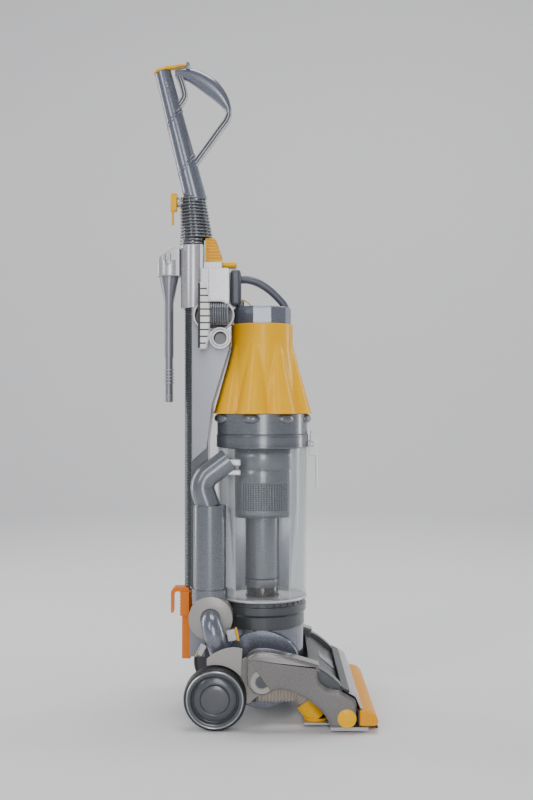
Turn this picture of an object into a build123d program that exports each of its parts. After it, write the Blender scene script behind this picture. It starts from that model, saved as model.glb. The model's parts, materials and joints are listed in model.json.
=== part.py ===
from build123d import *
import math
import os

# Upright vacuum cleaner, millimetres. +X is the front, +Y the left side, +Z up.
# The origin is on the floor, under the axis of the dust bin.

# ---- driving dimensions -------------------------------------------------------------
WHEEL_R = 50.5            # rear wheel
WHEEL_X = -75.0
WHEEL_INNER_Y = 112.0
WHEEL_OUTER_Y = 140.0
GUARD_R = 52.6            # underside of the mudguard, about the axle
AXLE_R = 5.0

PIVOT_X = 0.0             # motor axis, which the cleaner head swings about
PIVOT_Z = 82.0
MOTOR_CASE_R = 64.0
MOTOR_CASE_RIGHT = -68.0  # right and left ends of the motor casing
MOTOR_CASE_LEFT = 100.0
TRUNNION_R = 13.0

BUCKET_R = 75.0           # filter bucket that the bin stands on
BUCKET_TOP = 190.0

BIN_R = 76.6              # clear bin
BIN_BOTTOM = 190.6
BIN_TOP = 446.0
CONE_TOP_R = 52.6         # yellow cyclone cover
CONE_TOP_Z = 656.0
CONE_FLARE_Z = 622.0
CONE_BOTTOM_R = 86.0
CONE_BOTTOM_Z = 504.0
LOBES = 8
FIRST_LOBE_DEG = -104.5
CAP_R = 49.2
CAP_TOP = 686.0

HOSE_X = -115.0           # stretch hose and stored wand tube up the back
HOSE_R = 18.5
HOSE_BOTTOM = 209.0
HOSE_TOP = 752.0
HOSE_FOOT_X = -109.0      # pipe below the hose
TUBE_R = 15.4
DUCT_X = -87.0            # dirty air duct beside the bin
DUCT_Y = -62.0
DUCT_R = 27.0
DUCT_BOTTOM = 207.0
VALVE_X = -84.0
VALVE_Z = 170.0
VALVE_R = 36.0
VALVE_FACE = -84.0        # right and left faces of the valve
VALVE_BACK = -44.0
LOW_PIPE_Y = -87.5        # pipe past the motor casing, and the head hose
HOUSING_BOTTOM = 683.0    # top housing
COLUMN_TOP = 791.0
BLOCK_TOP = 749.0

WAND_LOW = (-113.4, 867.0)    # X, Z of the slanted wand tube's ends
WAND_HIGH = (-170.5, 1089.0)
WAND_LOW_R = 19.3
WAND_HIGH_R = 14.0
HINGE_Z = 1100.6          # hinge of the wand cap

HEAD_INNER_Y = 118.0      # the head's arms
HEAD_OUTER_Y = 149.0
HOOD_Y = 117.7            # half width of the hood between the arms
SOLE_SKIN = 7.6           # top of the soleplate's thin rear part
SOLE_TOP = 9.7
TUNNEL_R = 23.6           # tunnel round the brush
BRUSH_X = 134.0
BRUSH_Z = 25.0
BRUSH_R = 22.5
BRUSH_CORE_R = 14.5

CLUTCH_X = 68.0           # clutch between the two belts, in the left arm
CLUTCH_Z = 82.0
MOTOR_PULLEY_R = 6.0
CLUTCH_LARGE_R = 7.0
CLUTCH_SMALL_R = 6.0
BRUSH_PULLEY_R = 9.0
FIRST_BELT_Y = 122.5      # near edges of the two belt runs
SECOND_BELT_Y = 133.5
BELT_RUN = 9.0
SCREW_SPOTS = ((18, 108), (58, 98))

WALL = 3.0                # common wall of the plastic mouldings
GAP = 0.3                 # clearance between moving mouldings
FIT = 0.05                # radial clearance of a running fit
SIDES = {"right": -1, "left": 1}


# ---- shape helpers ------------------------------------------------------------------
def block(x0, x1, y0, y1, z0, z1):
    """Box between two corners."""
    return Pos((x0 + x1) / 2, (y0 + y1) / 2, (z0 + z1) / 2) * Box(x1 - x0, y1 - y0, z1 - z0)


def along_x(radius, x0, x1, y, z):
    """Cylinder along X."""
    return Pos((x0 + x1) / 2, y, z) * Rot(0, 90, 0) * Cylinder(radius, abs(x1 - x0))


def along_y(radius, y0, y1, x, z):
    """Cylinder along Y."""
    return Pos(x, (y0 + y1) / 2, z) * Rot(90, 0, 0) * Cylinder(radius, abs(y1 - y0))


def along_z(radius, z0, z1, x=0.0, y=0.0):
    """Cylinder along Z."""
    return Pos(x, y, (z0 + z1) / 2) * Cylinder(radius, abs(z1 - z0))


def ring_z(outer, inner, z0, z1, x=0.0, y=0.0):
    """Upright tube."""
    return along_z(outer, z0, z1, x, y) - along_z(inner, z0 - 1, z1 + 1, x, y)


def ring_y(outer, inner, y0, y1, x, z):
    """Tube along Y."""
    low, high = sorted((y0, y1))
    return along_y(outer, low, high, x, z) - along_y(inner, low - 1, high + 1, x, z)


def turned(profile, x=0.0, y=0.0):
    """Solid turned about an upright axis from its (radius, z) profile."""
    outline = Polyline([(r, 0, z) for r, z in profile], close=True)
    return Pos(x, y, 0) * revolve(make_face(outline), axis=Axis.Z)


def turned_y(profile, x, z):
    """Solid turned about an axis along Y from its (radius, y) profile."""
    outline = Polyline([(r, y, 0) for r, y in profile], close=True)
    return Pos(x, 0, z) * revolve(make_face(outline), axis=Axis.Y)


def side_face(points):
    """Straight-sided face in the XZ plane."""
    return make_face(Polyline([(x, 0, z) for x, z in points], close=True))


def curve(points):
    """Smooth curve through points of the XZ plane."""
    return Spline([(x, 0, z) for x, z in points])


def line(start, end):
    """Straight edge in the XZ plane."""
    return Line((start[0], 0, start[1]), (end[0], 0, end[1]))


def across(face, y0, y1):
    """Face of the XZ plane given a width from y0 to y1."""
    low, high = sorted((y0, y1))
    flat = face.face()
    if flat.normal_at().Y < 0:
        flat = -flat
    return Pos(0, low, 0) * extrude(flat, amount=high - low)


def bent_rod(points, radius, bend):
    """Solid round bar along straight runs joined by arcs."""
    path = FilletPolyline(*points, radius=bend)
    return sweep(Plane(origin=path @ 0, z_dir=path % 0) * Circle(radius), path=path)


def pipe(points, outer, inner, bend):
    """Round pipe along straight runs joined by arcs."""
    path = FilletPolyline(*points, radius=bend)
    section = Circle(outer) - Circle(inner)
    return sweep(Plane(origin=path @ 0, z_dir=path % 0) * section, path=path)


def coil_spring(x, y, z0, z1, radius, wire, turns):
    """Upright coil spring."""
    rise = z1 - z0 - 2 * wire
    path = Helix(pitch=rise / turns, height=rise, radius=radius)
    wire_end = Plane(origin=path @ 0, z_dir=path % 0) * Circle(wire)
    return Pos(x, y, z0 + wire) * sweep(wire_end, path=path, is_frenet=True)


def screw_y(x, z, y_head, side, head_r=3.5, shank_r=1.8, length=12):
    """Pan-head screw driven inwards from the outer face at y_head on one side."""
    inner = y_head - side * length
    head = along_y(head_r, y_head, y_head + side * 1.6, x, z)
    socket = along_y(head_r / 2, y_head + side * 0.7, y_head + side * 3, x, z)
    return head + along_y(shank_r, inner, y_head, x, z) - socket


# ---- wheels and axle ----------------------------------------------------------------
def tyre(side):
    """Soft tread ring with rounded shoulders."""
    inner, outer = WHEEL_INNER_Y, WHEEL_OUTER_Y - 1.5
    profile = [(44.4, inner), (48.5, inner), (WHEEL_R, inner + 3), (WHEEL_R, outer - 5),
               (49.3, outer - 1.5), (47, outer), (44.4, outer)]
    return turned_y([(r, side * y) for r, y in profile], WHEEL_X, WHEEL_R)


def wheel_rim(side):
    """Dished wheel with a raised rim bevel and a bore for the axle."""
    inner, outer = WHEEL_INNER_Y, WHEEL_OUTER_Y
    profile = [(AXLE_R + FIT, inner), (44.3, inner), (44.3, outer - 1), (43, outer), (38.5, outer - 1),
               (36.5, outer - 6), (33.5, outer - 5), (23.3, outer - 3.5), (23.3, outer - 9),
               (AXLE_R + FIT, outer - 9)]
    return turned_y([(r, side * y) for r, y in profile], WHEEL_X, WHEEL_R)


def hub_cap(side):
    """Round cap pressed into the wheel over the axle's end."""
    outer = WHEEL_OUTER_Y - 2.0
    profile = [(0, outer - 2.5), (20, outer - 2.5), (20, outer - 6.5), (23, outer - 6.5), (23, outer - 1.5),
               (21.5, outer), (0, outer + 0.4)]
    return turned_y([(r, side * y) for r, y in profile], WHEEL_X, WHEEL_R)


def axle():
    """Steel rod that carries both wheels."""
    rod = along_y(AXLE_R, -134, 134, WHEEL_X, WHEEL_R)
    for side in SIDES.values():
        rod -= ring_y(AXLE_R + 1, AXLE_R - 1, side * 131.6, side * 132.8, WHEEL_X, WHEEL_R)
    return rod


def axle_clips():
    """Spring clips in the axle's end grooves."""
    clips = []
    for side in SIDES.values():
        clip = ring_y(8.5, AXLE_R - 0.9, side * 131.7, side * 132.7, WHEEL_X, WHEEL_R)
        clip -= block(WHEEL_X - 2.5, WHEEL_X + 2.5, side * 132.2 - 3, side * 132.2 + 3, WHEEL_R - 12, WHEEL_R)
        clips.append(clip)
    return clips


def axle_bracket(side):
    """Side plate from the axle to the motor casing, with the mudguard over the wheel."""
    web = across(side_face([(-90, 42), (-90, 60), (-80, 76), (-54, 88), (-38, 106), (-26, 112), (-14, 103), (4, 103),
                            (19, 92), (21, 76), (8, 62), (-20, 38), (-60, 34), (-84, 34)]), 105, 110)
    web += along_y(11, 98, 111.7, WHEEL_X, WHEEL_R)
    web -= along_y(AXLE_R + 0.02, 90, 120, WHEEL_X, WHEEL_R)
    web -= along_y(TRUNNION_R + 0.02, 90, 120, PIVOT_X, PIVOT_Z)
    top = curve([(-88.5, 113), (-72, 124.5), (-52, 131), (-31, 129)])
    skin = make_face([top, line((-31, 129), (-33, 84)), line((-33, 84), (-75, 60)), line((-75, 60), (-88.5, 98)),
                      line((-88.5, 98), (-88.5, 113))])
    guard = across(skin, 122.5, 126) - along_y(GUARD_R, 100, 130, WHEEL_X, WHEEL_R)
    strip = ring_y(GUARD_R + 3, GUARD_R, 109.5, 126, WHEEL_X, WHEEL_R) & block(-88.5, -33, 100, 130, 84, 112)
    tie = block(-48, -34, 105, 126, 98, 103)
    bracket = web + guard + strip + (tie - along_y(GUARD_R, 100, 130, WHEEL_X, WHEEL_R))
    return bracket if side > 0 else mirror(bracket, about=Plane.XZ)


# ---- motor and its casing -----------------------------------------------------------
def motor_casing():
    """Round casing of the motor, across the machine."""
    shell = ring_y(MOTOR_CASE_R, MOTOR_CASE_R - WALL, MOTOR_CASE_RIGHT, MOTOR_CASE_LEFT, PIVOT_X, PIVOT_Z)
    return shell - along_z(52, 130, 160)


def motor_end_cover(side):
    """End cover of the casing with the hollow trunnion that the head swings on."""
    face_y = MOTOR_CASE_LEFT if side > 0 else MOTOR_CASE_RIGHT
    outer = face_y + side * WALL
    end = FIRST_BELT_Y - 0.5 if side > 0 else 144.0
    cover = along_y(MOTOR_CASE_R, face_y, outer, PIVOT_X, PIVOT_Z)
    cover += along_y(MOTOR_CASE_R - WALL - 0.1, face_y - side * 3, face_y, PIVOT_X, PIVOT_Z)
    cover += along_y(TRUNNION_R, outer, side * end, PIVOT_X, PIVOT_Z)
    bore_end = side * (end + 1) if side > 0 else face_y - 1
    return cover - along_y(9, face_y - side * 4, bore_end, PIVOT_X, PIVOT_Z)


def motor_can():
    """Steel can of the motor with its field windings."""
    can = ring_y(44, 30, -40, 52, PIVOT_X, PIVOT_Z)
    flange = ring_y(MOTOR_CASE_R - WALL - 0.1, 44, 4, 8, PIVOT_X, PIVOT_Z)
    return can + flange


def motor_bushes():
    """Plain bearings of the motor shaft."""
    right = ring_y(9, 4 + FIT, MOTOR_CASE_RIGHT - 0.8, -61, PIVOT_X, PIVOT_Z)
    left = ring_y(9, 4 + FIT, MOTOR_CASE_LEFT, MOTOR_CASE_LEFT + 10, PIVOT_X, PIVOT_Z)
    return [right, left]


def motor_shaft():
    """Motor shaft with its armature."""
    shaft = along_y(4, MOTOR_CASE_RIGHT - 0.5, FIRST_BELT_Y + BELT_RUN + 1, PIVOT_X, PIVOT_Z)
    return shaft + along_y(28, -30, 36, PIVOT_X, PIVOT_Z) + along_y(15, 38, 56, PIVOT_X, PIVOT_Z)


def fan():
    """Suction fan with curved blades between two discs."""
    hub = ring_y(9, 4.0, -60, -44, PIVOT_X, PIVOT_Z)
    disc = ring_y(46, 4.0, -47, -45, PIVOT_X, PIVOT_Z)
    blades = []
    for k in range(9):
        blade = Rot(0, 40 * k, 0) * (Rot(0, 25, 0) * block(8, 44, -59, -46, -0.8, 0.8))
        blades.append(Pos(PIVOT_X, 0, PIVOT_Z) * blade)
    wheel = hub + disc
    for blade in blades:
        wheel += blade & along_y(46, -60, -45.5, PIVOT_X, PIVOT_Z)
    return wheel - along_y(4.0, -70, -30, PIVOT_X, PIVOT_Z)


def motor_cowl():
    """Cowl between the round casing and the upright bucket."""
    cowl = turned([(70, 84), (70, 146.5), (66, 146.5), (66, 84)])
    cowl += ring_z(70, 50, 143, 146.5)
    return cowl - along_y(MOTOR_CASE_R + 0.02, -80, 116, PIVOT_X, PIVOT_Z)


def filter_bucket():
    """Bucket with two raised bands and a notched rim, where the bin stands."""
    profile = [(54, 147), (72, 147), (72, 167), (73.2, 168.5), (BUCKET_R, 171), (BUCKET_R, 183), (73, 184.5),
               (73, BUCKET_TOP), (62, BUCKET_TOP), (62, 186), (68, 184), (68, 150.5), (54, 150.5)]
    bucket = turned(profile)
    notch = block(70.8, 76, -1.7, 1.7, 185.5, BUCKET_TOP + 1)
    for k in range(36):
        bucket -= Rot(0, 0, 10 * k + 5) * notch
    return bucket


def pre_filter():
    """Washable foam filter in the bucket's upper half."""
    return turned([(0, 168), (66, 168), (66, 181), (60, 182.5), (0, 182.5)])


def post_filter():
    """Pleated filter under the foam one."""
    return turned([(0, 151), (66.5, 151), (66.5, 166), (0, 166)])


def bin_seal():
    """Rubber ring that the bin's outlet seals on."""
    return turned([(54, 183), (61.5, 183), (61.5, BUCKET_TOP - 0.3), (57, BUCKET_TOP + 0.2), (54, BUCKET_TOP - 0.5)])


# ---- spine, hoses and ducts -----------------------------------------------------------
def bin_clearance():
    """Room that the bin and cyclone need, as a solid to cut away."""
    profile = [(0, 180), (79, 180), (81, 470), (88.5, 502), (88.5, 508), (55.5, 624), (55.5, 690), (0, 690)]
    return turned(profile)


def spine_frame():
    """Load-bearing channel up the back, behind the duct."""
    channel = block(-95.5, -91.5, -32, 32, 120, HOUSING_BOTTOM)
    for y0 in (-32, 29):
        channel += block(-120, -91.5, y0, y0 + 3, 152, HOUSING_BOTTOM)
    channel -= block(-125, -96, -33, -28, 145, 192)
    foot = block(-95.5, -60, -32, 32, 120, 124) - along_z(70.02, 100, 130)
    return channel + foot - bin_clearance()


def spine_panel():
    """Silver cover over the upper spine, hollowed round the bin and open behind the hose."""
    outline = [(-118, 424), (-93, 446), (-86, 500), (-84, 520), (-54, 617), (-54, HOUSING_BOTTOM),
               (-118, HOUSING_BOTTOM)]
    inner = [(-100, 440), (-97, 450), (-90, 500), (-88, 520), (-60, 612), (-60, 679.5), (-100, 679.5)]
    outer = across(side_face(outline), -42, 42)
    hollow = block(-130, -98.2, -38.5, 38.5, 400, 700) + across(side_face(inner), -38.5, 38.5)
    hollow += block(-121, -91.3, -32.2, 32.2, 400, 700)
    return outer - hollow - bin_clearance()


def stretch_hose():
    """Hose up the back, which holds the wand's tube when it is stored."""
    return ring_z(HOSE_R, HOSE_R - 1.6, HOSE_BOTTOM, HOSE_TOP, HOSE_X)


def hose_elbow():
    """Pipe from the foot of the hose into the valve."""
    points = [(HOSE_FOOT_X, 0, HOSE_BOTTOM - 0.3), (HOSE_FOOT_X, 0, 168), (HOSE_FOOT_X, VALVE_BACK + 0.3, 167)]
    return pipe(points, 12.5, 10.5, 20)


def air_duct():
    """Duct that carries dirty air up beside the bin, with the elbow into it."""
    tube = ring_z(DUCT_R, DUCT_R - 2.5, DUCT_BOTTOM, 350, DUCT_X, DUCT_Y)
    bend = pipe([(DUCT_X - 2, DUCT_Y, 349), (DUCT_X - 17, DUCT_Y, 392), (-55, DUCT_Y + 4, 428)], 20, 17.5, 27)
    cover = ring_z(DUCT_R, 17.6, 350, 353, DUCT_X, DUCT_Y) - along_z(19.9, 345, 360, DUCT_X - 2, DUCT_Y)
    return tube + cover + (bend - along_z(78, 380, 470))


def valve_housing():
    """Round housing of the change-over valve, with the socket that the duct stands in."""
    inside = along_y(VALVE_R - WALL, VALVE_FACE + WALL, VALVE_BACK - WALL, VALVE_X, VALVE_Z)
    drum = along_y(VALVE_R, VALVE_FACE, VALVE_BACK, VALVE_X, VALVE_Z)
    drum += along_z(DUCT_R + 2.5, 190, DUCT_BOTTOM + 8, DUCT_X, DUCT_Y)
    drum -= along_z(DUCT_R + 0.02, DUCT_BOTTOM - 0.1, 230, DUCT_X, DUCT_Y)
    drum -= inside + along_z(20, 185, 210, DUCT_X, DUCT_Y)
    drum -= along_y(16.52, VALVE_FACE - 2, VALVE_FACE + 5, VALVE_X, VALVE_Z)
    drum -= along_y(9, VALVE_BACK - 10, VALVE_BACK + 5, -107, 167)
    return drum - bin_clearance() - along_z(75.5, 140, 195)


def changeover_valve():
    """Flap drum that joins the duct to the head or to the hose."""
    low, high = VALVE_FACE + 5, -61
    drum = ring_y(VALVE_R - WALL - 0.6, VALVE_R - WALL - 3.6, low, high, VALVE_X, VALVE_Z)
    window = block(VALVE_X - 24, VALVE_X + 24, low + 3, high - 3, VALVE_Z, VALVE_Z + 40)
    spokes = block(VALVE_X - 31, VALVE_X + 31, high - 5, high - 2, VALVE_Z - 2, VALVE_Z + 2)
    return drum - window + spokes


def internal_hose_points():
    """Centre line of the hose on the valve's face."""
    return [(VALVE_X, VALVE_FACE + 3, VALVE_Z), (VALVE_X, -122, VALVE_Z + 2), (-64, -88, 100)]


def internal_hose():
    """Short hose from the valve's face down behind the mudguard."""
    return pipe(internal_hose_points(), 16.5, 14.4, 23)


def lower_duct():
    """Rigid pipe from the internal hose, past the motor casing, to the head hose."""
    points = [(-64, LOW_PIPE_Y, 99), (-51, LOW_PIPE_Y, 52), (-9, LOW_PIPE_Y, 49)]
    return pipe(points, 15.6, 13.4, 20) - bent_rod(internal_hose_points(), 16.52, 23)


def hose_clips():
    """Two spring clips that hold the internal hose's cuff."""
    left_place = Pos(-98, -108, 124) * Rot(0, 28, 0)
    right_place = Pos(-49.5, -102, 146) * Rot(0, -12, 0)
    return [left_place * block(-5, 5, -3, 3, -9, 9), right_place * block(-7, 7, -3, 3, -9, 9)]


def clip_levers():
    """Yellow release levers of the hose clips."""
    left = Pos(-103.6, -108, 121) * Rot(0, 28, 0) * Box(1.8, 6, 18)
    right = Pos(-40.4, -102, 147.8) * Rot(0, -12, 0) * Box(3.4, 6, 22)
    return [left, right]


def head_hose_points():
    """Centre line of the hose into the cleaner head."""
    return [(-7, LOW_PIPE_Y, 49), (60, LOW_PIPE_Y, 50), (86, -90, 17)]


def head_hose():
    """Ribbed hose that bends as the head swings."""
    return pipe(head_hose_points(), 15.5, 13.3, 26)


def rear_cover():
    """Silver cover at the foot of the spine."""
    return block(-122, -95.8, -40, 40, 96, 150) - block(-119, -95, -37, 37, 90, 147)


def cable_gland():
    """Rubber gland that the mains lead comes in through."""
    gland = along_x(7, -129, -122, 28, 118) + along_x(10, -124.5, -122, 28, 118)
    return gland - along_x(3.6, -131, -120, 28, 118)


# ---- top housing ----------------------------------------------------------------------
def top_housing():
    """Housing at the head of the spine: hose column, main block and catch pocket."""
    column = block(-139, -100, -27, 27, HOUSING_BOTTOM, COLUMN_TOP)
    column = fillet(column.edges().filter_by(Axis.Z).group_by(Axis.X)[0], 16)
    main = block(-104, -55, -42, 42, HOUSING_BOTTOM, BLOCK_TOP)
    main = fillet(main.edges().filter_by(Axis.Y).group_by(Axis.Z)[-1], 4)
    body = column + main + block(-104, -68, -20, 20, BLOCK_TOP - 1, 762)
    body -= block(-97, -59, -38, 38, HOUSING_BOTTOM - 1, 744)
    body -= along_z(HOSE_R + 0.3, 600, HOSE_TOP + 0.3, HOSE_X)
    body -= along_z(TUBE_R + 0.8, 600, COLUMN_TOP + 1, HOSE_X)
    body -= block(-97.5, -69, -13.3, 13.3, 753, 800)
    body -= block(-66.5, -56.5, -11, 11, 743, 760)
    body -= block(-86.4, -69.6, 39.5, 43, 711.6, 736.4)
    return body


def tool_dock():
    """Dock on the right side: a recess for the stair tool and a spigot ring."""
    dock = SlotOverall(68, 50)
    dock_plate = extrude(dock, amount=30)
    recess = extrude(SlotOverall(61, 43), amount=26)
    to_side = Pos(-80, -42.2, 667) * Rot(90, 0, 0)
    body = to_side * dock_plate
    body -= to_side * (Pos(0, 0, 8) * recess)
    ring = along_y(18, -42.2, -80, -69, 629)
    neck = block(-87, -51, -72, -42.2, 629, 650)
    body = body + (neck - to_side * (Pos(0, 0, 8) * recess)) + ring
    return body - along_y(10.5, -85, -50, -69, 629)


def wand_catch():
    """Ribbed yellow catch that holds the wand down."""
    face = side_face([(-97, 758.5), (-70, 758.5), (-70, 771), (-73, 784), (-79, 800), (-82, 803), (-97, 803)])
    catch = across(face, -13, 13)
    for k in range(6):
        z = 769 + 5.4 * k
        x = -70 - max(0.0, z - 771) * 0.37
        catch -= block(x - 1.2, x + 4, -14, 14, z, z + 1.8)
    return catch - block(-94, -76, -9, 9, 750, 775)


def catch_spring():
    """Return spring of the wand catch."""
    return coil_spring(-86, 0, 753.2, 774.8, 5, 0.6, 6)


def release_button():
    """Yellow dome pressed to free the bin."""
    dome = Pos(-54.5, 0, 754) * scale(Sphere(1), by=(15, 16, 9))
    dome &= block(-67.6, -41, -20, 20, 757, 770)
    return dome + block(-66, -57, -10.5, 10.5, 749.3, 757.2)


def power_switch():
    """Push switch on the left face of the top housing."""
    return block(-86, -70, 41.7, 45, 712, 736) - block(-82, -74, 44.2, 46, 722, 726)


def crevice_holder():
    """Cup behind the column that grips the crevice tool."""
    outline = [(-180, 738), (-141, 738), (-141, 786), (-150, 786), (-180, 768)]
    cup = across(side_face(outline), -20, 20)
    cup = fillet(cup.edges().filter_by(Axis.Z).group_by(Axis.X)[0], 14)
    cup -= along_z(16.9, 730, 772, -160)
    flange = block(-141.2, -139.1, -14, 14, 740, 784)
    return cup + flange


# ---- cord hooks -----------------------------------------------------------------------
def lower_hook():
    """Orange lower hook for the mains lead, hooked downwards behind the machine."""
    grip = side_face([(-140, 160), (-118, 160), (-118, 201), (-140, 201)])
    arch = side_face([(-156, 172), (-156, 200), (-150, 207.5), (-126, 207.5), (-122.5, 200), (-140, 200),
                      (-147, 200), (-151, 196), (-151.5, 164), (-156, 164)])
    stem = side_face([(-137, 86), (-122.3, 86), (-122.3, 161), (-137, 161)])
    hook = across(grip, -18, 18) + across(arch, -12, 12) + across(stem, -12, 12)
    for k in range(6):
        hook -= block(-141, -138.4, -19, 19, 164 + 6 * k, 166 + 6 * k)
    return hook - along_z(13, 140, 210, HOSE_FOOT_X) - block(-124, -108, -20, 0, 148, 200)


def upper_hook():
    """Upper hook for the mains lead, which turns to drop the lead."""
    body = block(-157, -146.3, -9, 9, 850, 881)
    body = fillet(body.edges().filter_by(Axis.X), 4)
    prong = block(-155.4, -152, -7, 7, 827, 851)
    return body + prong + along_x(4, -146.5, -136, 0, 866)


# ---- wand -----------------------------------------------------------------------------
def wand_direction():
    """Unit vector up the slanted tube."""
    return (Vector(WAND_HIGH[0], 0, WAND_HIGH[1]) - Vector(WAND_LOW[0], 0, WAND_LOW[1])).normalized()


def wand_cone(low_r, high_r, start=0.0, extra=0.0):
    """Tapered rod along the slanted tube, from start to extra past its far end."""
    axis = wand_direction()
    foot = Vector(WAND_LOW[0], 0, WAND_LOW[1]) + axis * start
    head = Vector(WAND_HIGH[0], 0, WAND_HIGH[1]) + axis * extra
    rings = [Plane(origin=foot, z_dir=axis) * Circle(low_r), Plane(origin=head, z_dir=axis) * Circle(high_r)]
    return loft(rings, ruled=True)


def wand_tube():
    """Slanted upper tube of the wand."""
    return wand_cone(WAND_LOW_R, WAND_HIGH_R) - wand_cone(WAND_LOW_R - 2.2, WAND_HIGH_R - 2, -2, 2)


def wand_inner_tube():
    """Straight tube that slides down inside the stretch hose."""
    return ring_z(TUBE_R, TUBE_R - 1.4, 330, 862, HOSE_X)


def wand_cuff():
    """Flexible ribbed cuff at the foot of the wand, seated on the column."""
    rings = [Pos(-112.3, 0, 806) * Circle(28.6), Pos(-119, 0, 875) * Circle(22)]
    cuff = loft(rings, ruled=True)
    cuff += along_z(18.5, COLUMN_TOP + GAP, 806, -120)
    cuff -= along_z(TUBE_R + 0.02, 780, 863, HOSE_X)
    cuff -= wand_cone(WAND_LOW_R + 0.02, WAND_HIGH_R) + along_z(WAND_LOW_R - 3, 861, 869, HOSE_X)
    cuff -= block(-101.5, -60, -15, 15, 780, 808)
    post = along_x(8.5, -146, -136, 0, 866) - along_x(4 + FIT, -150, -135, 0, 866)
    return cuff - along_x(8.5, -146, -136, 0, 866) + post


def handle_outline():
    """Outer and inner outlines of the handle's loop, as closed faces."""
    outer = [(-150, 1093), (-136, 1096.2), (-122, 1096.2), (-99, 1088), (-79, 1075), (-63, 1054), (-53, 1026),
             (-55, 1007), (-69, 985), (-112, 923)]
    inner = [(-152, 1076), (-130, 1075), (-119, 1069), (-92, 1048), (-67, 1029), (-61.5, 1018), (-66, 1007),
             (-81, 993), (-123, 934)]
    rim = curve(outer)
    hole = curve(inner)
    return make_face([rim, line(outer[-1], inner[-1]), hole, line(inner[0], outer[0])])


def handle_grip():
    """Looped handle fixed to the wand at its top and bottom."""
    loop = across(handle_outline(), -11, 11)
    strap = across(side_face([(-150, 1090), (-134, 1076), (-128, 1048), (-132, 1036), (-156, 1006), (-164, 1018),
                              (-142, 1046), (-146, 1074)]), -8, 8)
    grip = (loop + strap) - wand_cone(WAND_LOW_R + 0.02, WAND_HIGH_R + 0.02, 0, 20)
    axis = wand_direction()
    seat = Vector(WAND_HIGH[0], 0, WAND_HIGH[1]) - axis * 0.5
    grip -= extrude(Plane(origin=seat, z_dir=axis) * Circle(WAND_HIGH_R + 2.5), amount=14)
    for y in (-11.5, 8.5):
        grip += block(-130, -124, y, y + 3, 1093, HINGE_Z + 3)
    return grip - along_y(1.5, -20, 20, -127, HINGE_Z)


def wand_cap():
    """Yellow cap over the wand's end, with the tab that it is lifted by."""
    axis = wand_direction()
    seat = Vector(WAND_HIGH[0], 0, WAND_HIGH[1]) + axis * 0.4
    disc = extrude(Plane(origin=seat, z_dir=axis) * Circle(WAND_HIGH_R + 2), amount=4)
    tab = side_face([(-166, 1095), (-151, 1095), (-138, 1098.3), (-128, 1098.5), (-128, 1102), (-140, 1101.5),
                     (-154, 1099.5), (-166, 1099)])
    cap = disc + across(tab, -8, 8) + along_y(3, -8, 8, -127, HINGE_Z)
    return cap - along_y(1.5 + FIT, -20, 20, -127, HINGE_Z)


def cap_pin():
    """Hinge pin of the wand cap."""
    return along_y(1.5, -12, 12, -127, HINGE_Z)


# ---- bin and cyclone --------------------------------------------------------------------
def clear_bin():
    """Clear dust bin, slightly tapered."""
    outer = [(74.7, BIN_BOTTOM + 3), (BIN_R, BIN_TOP), (BIN_R - 2.5, BIN_TOP), (72.2, BIN_BOTTOM + 3)]
    return turned(outer)


def bin_base():
    """Base of the bin with its rolled rim and raised inner ring."""
    profile = [(30, BIN_BOTTOM), (75.5, BIN_BOTTOM), (76.2, BIN_BOTTOM + 1.4), (75.5, BIN_BOTTOM + 2.9),
               (66, BIN_BOTTOM + 2.9), (64, BIN_BOTTOM + 5), (60, BIN_BOTTOM + 5), (58, BIN_BOTTOM + 2.9),
               (30, BIN_BOTTOM + 2.9)]
    return turned(profile)


def bin_collar():
    """Grey collar that joins the bin and the cyclone."""
    collar = turned([(77, 446.2), (78.5, 447.5), (78.5, 468), (77.5, 469.5), (60, 469.5), (60, 466), (75, 466),
                     (75, 446.2)])
    for y in (-13, 10):
        collar += block(76, 87.5, y, y + 3, 448, 456.5)
    return collar - along_y(1.8, -20, 20, 84.5, 452)


def cyclone_ring():
    """Silver ring under the cyclone cover with its air scoops."""
    ring = turned([(77.4, 469.8), (77.4, 503.5), (62, 503.5), (62, 500), (74.6, 499), (74.6, 469.8)])
    for k in range(LOBES):
        scoop = Pos(76, 0, 496) * Rot(0, 25, 0) * scale(Sphere(1), by=(9, 15, 8))
        scoop &= block(60, 90, -20, 20, 480, 503.5)
        scoop -= along_z(74.7, 470, 510)
        ring += Rot(0, 0, FIRST_LOBE_DEG + 45 * k) * scoop
    return ring


def cyclone_cover():
    """Yellow cover with eight tapered lobes round its cone."""
    cover = turned([(0, CONE_BOTTOM_Z), (71, CONE_BOTTOM_Z), (CONE_TOP_R, CONE_FLARE_Z), (CONE_TOP_R, CONE_TOP_Z),
                    (0, CONE_TOP_Z)])
    top_r, bottom_r = 6.0, 30.0
    for k in range(LOBES):
        rings = [Pos(CONE_BOTTOM_R - bottom_r, 0, CONE_BOTTOM_Z) * Circle(bottom_r),
                 Pos(CONE_TOP_R - top_r, 0, CONE_FLARE_Z + 3) * Circle(top_r)]
        cover += Rot(0, 0, FIRST_LOBE_DEG + 45 * k) * loft(rings, ruled=True)
    cavity = turned([(0, CONE_BOTTOM_Z - 1), (67, CONE_BOTTOM_Z - 1), (67, CONE_BOTTOM_Z), (49, CONE_FLARE_Z),
                     (49, CONE_TOP_Z + 1), (0, CONE_TOP_Z + 1)])
    return cover - cavity


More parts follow.
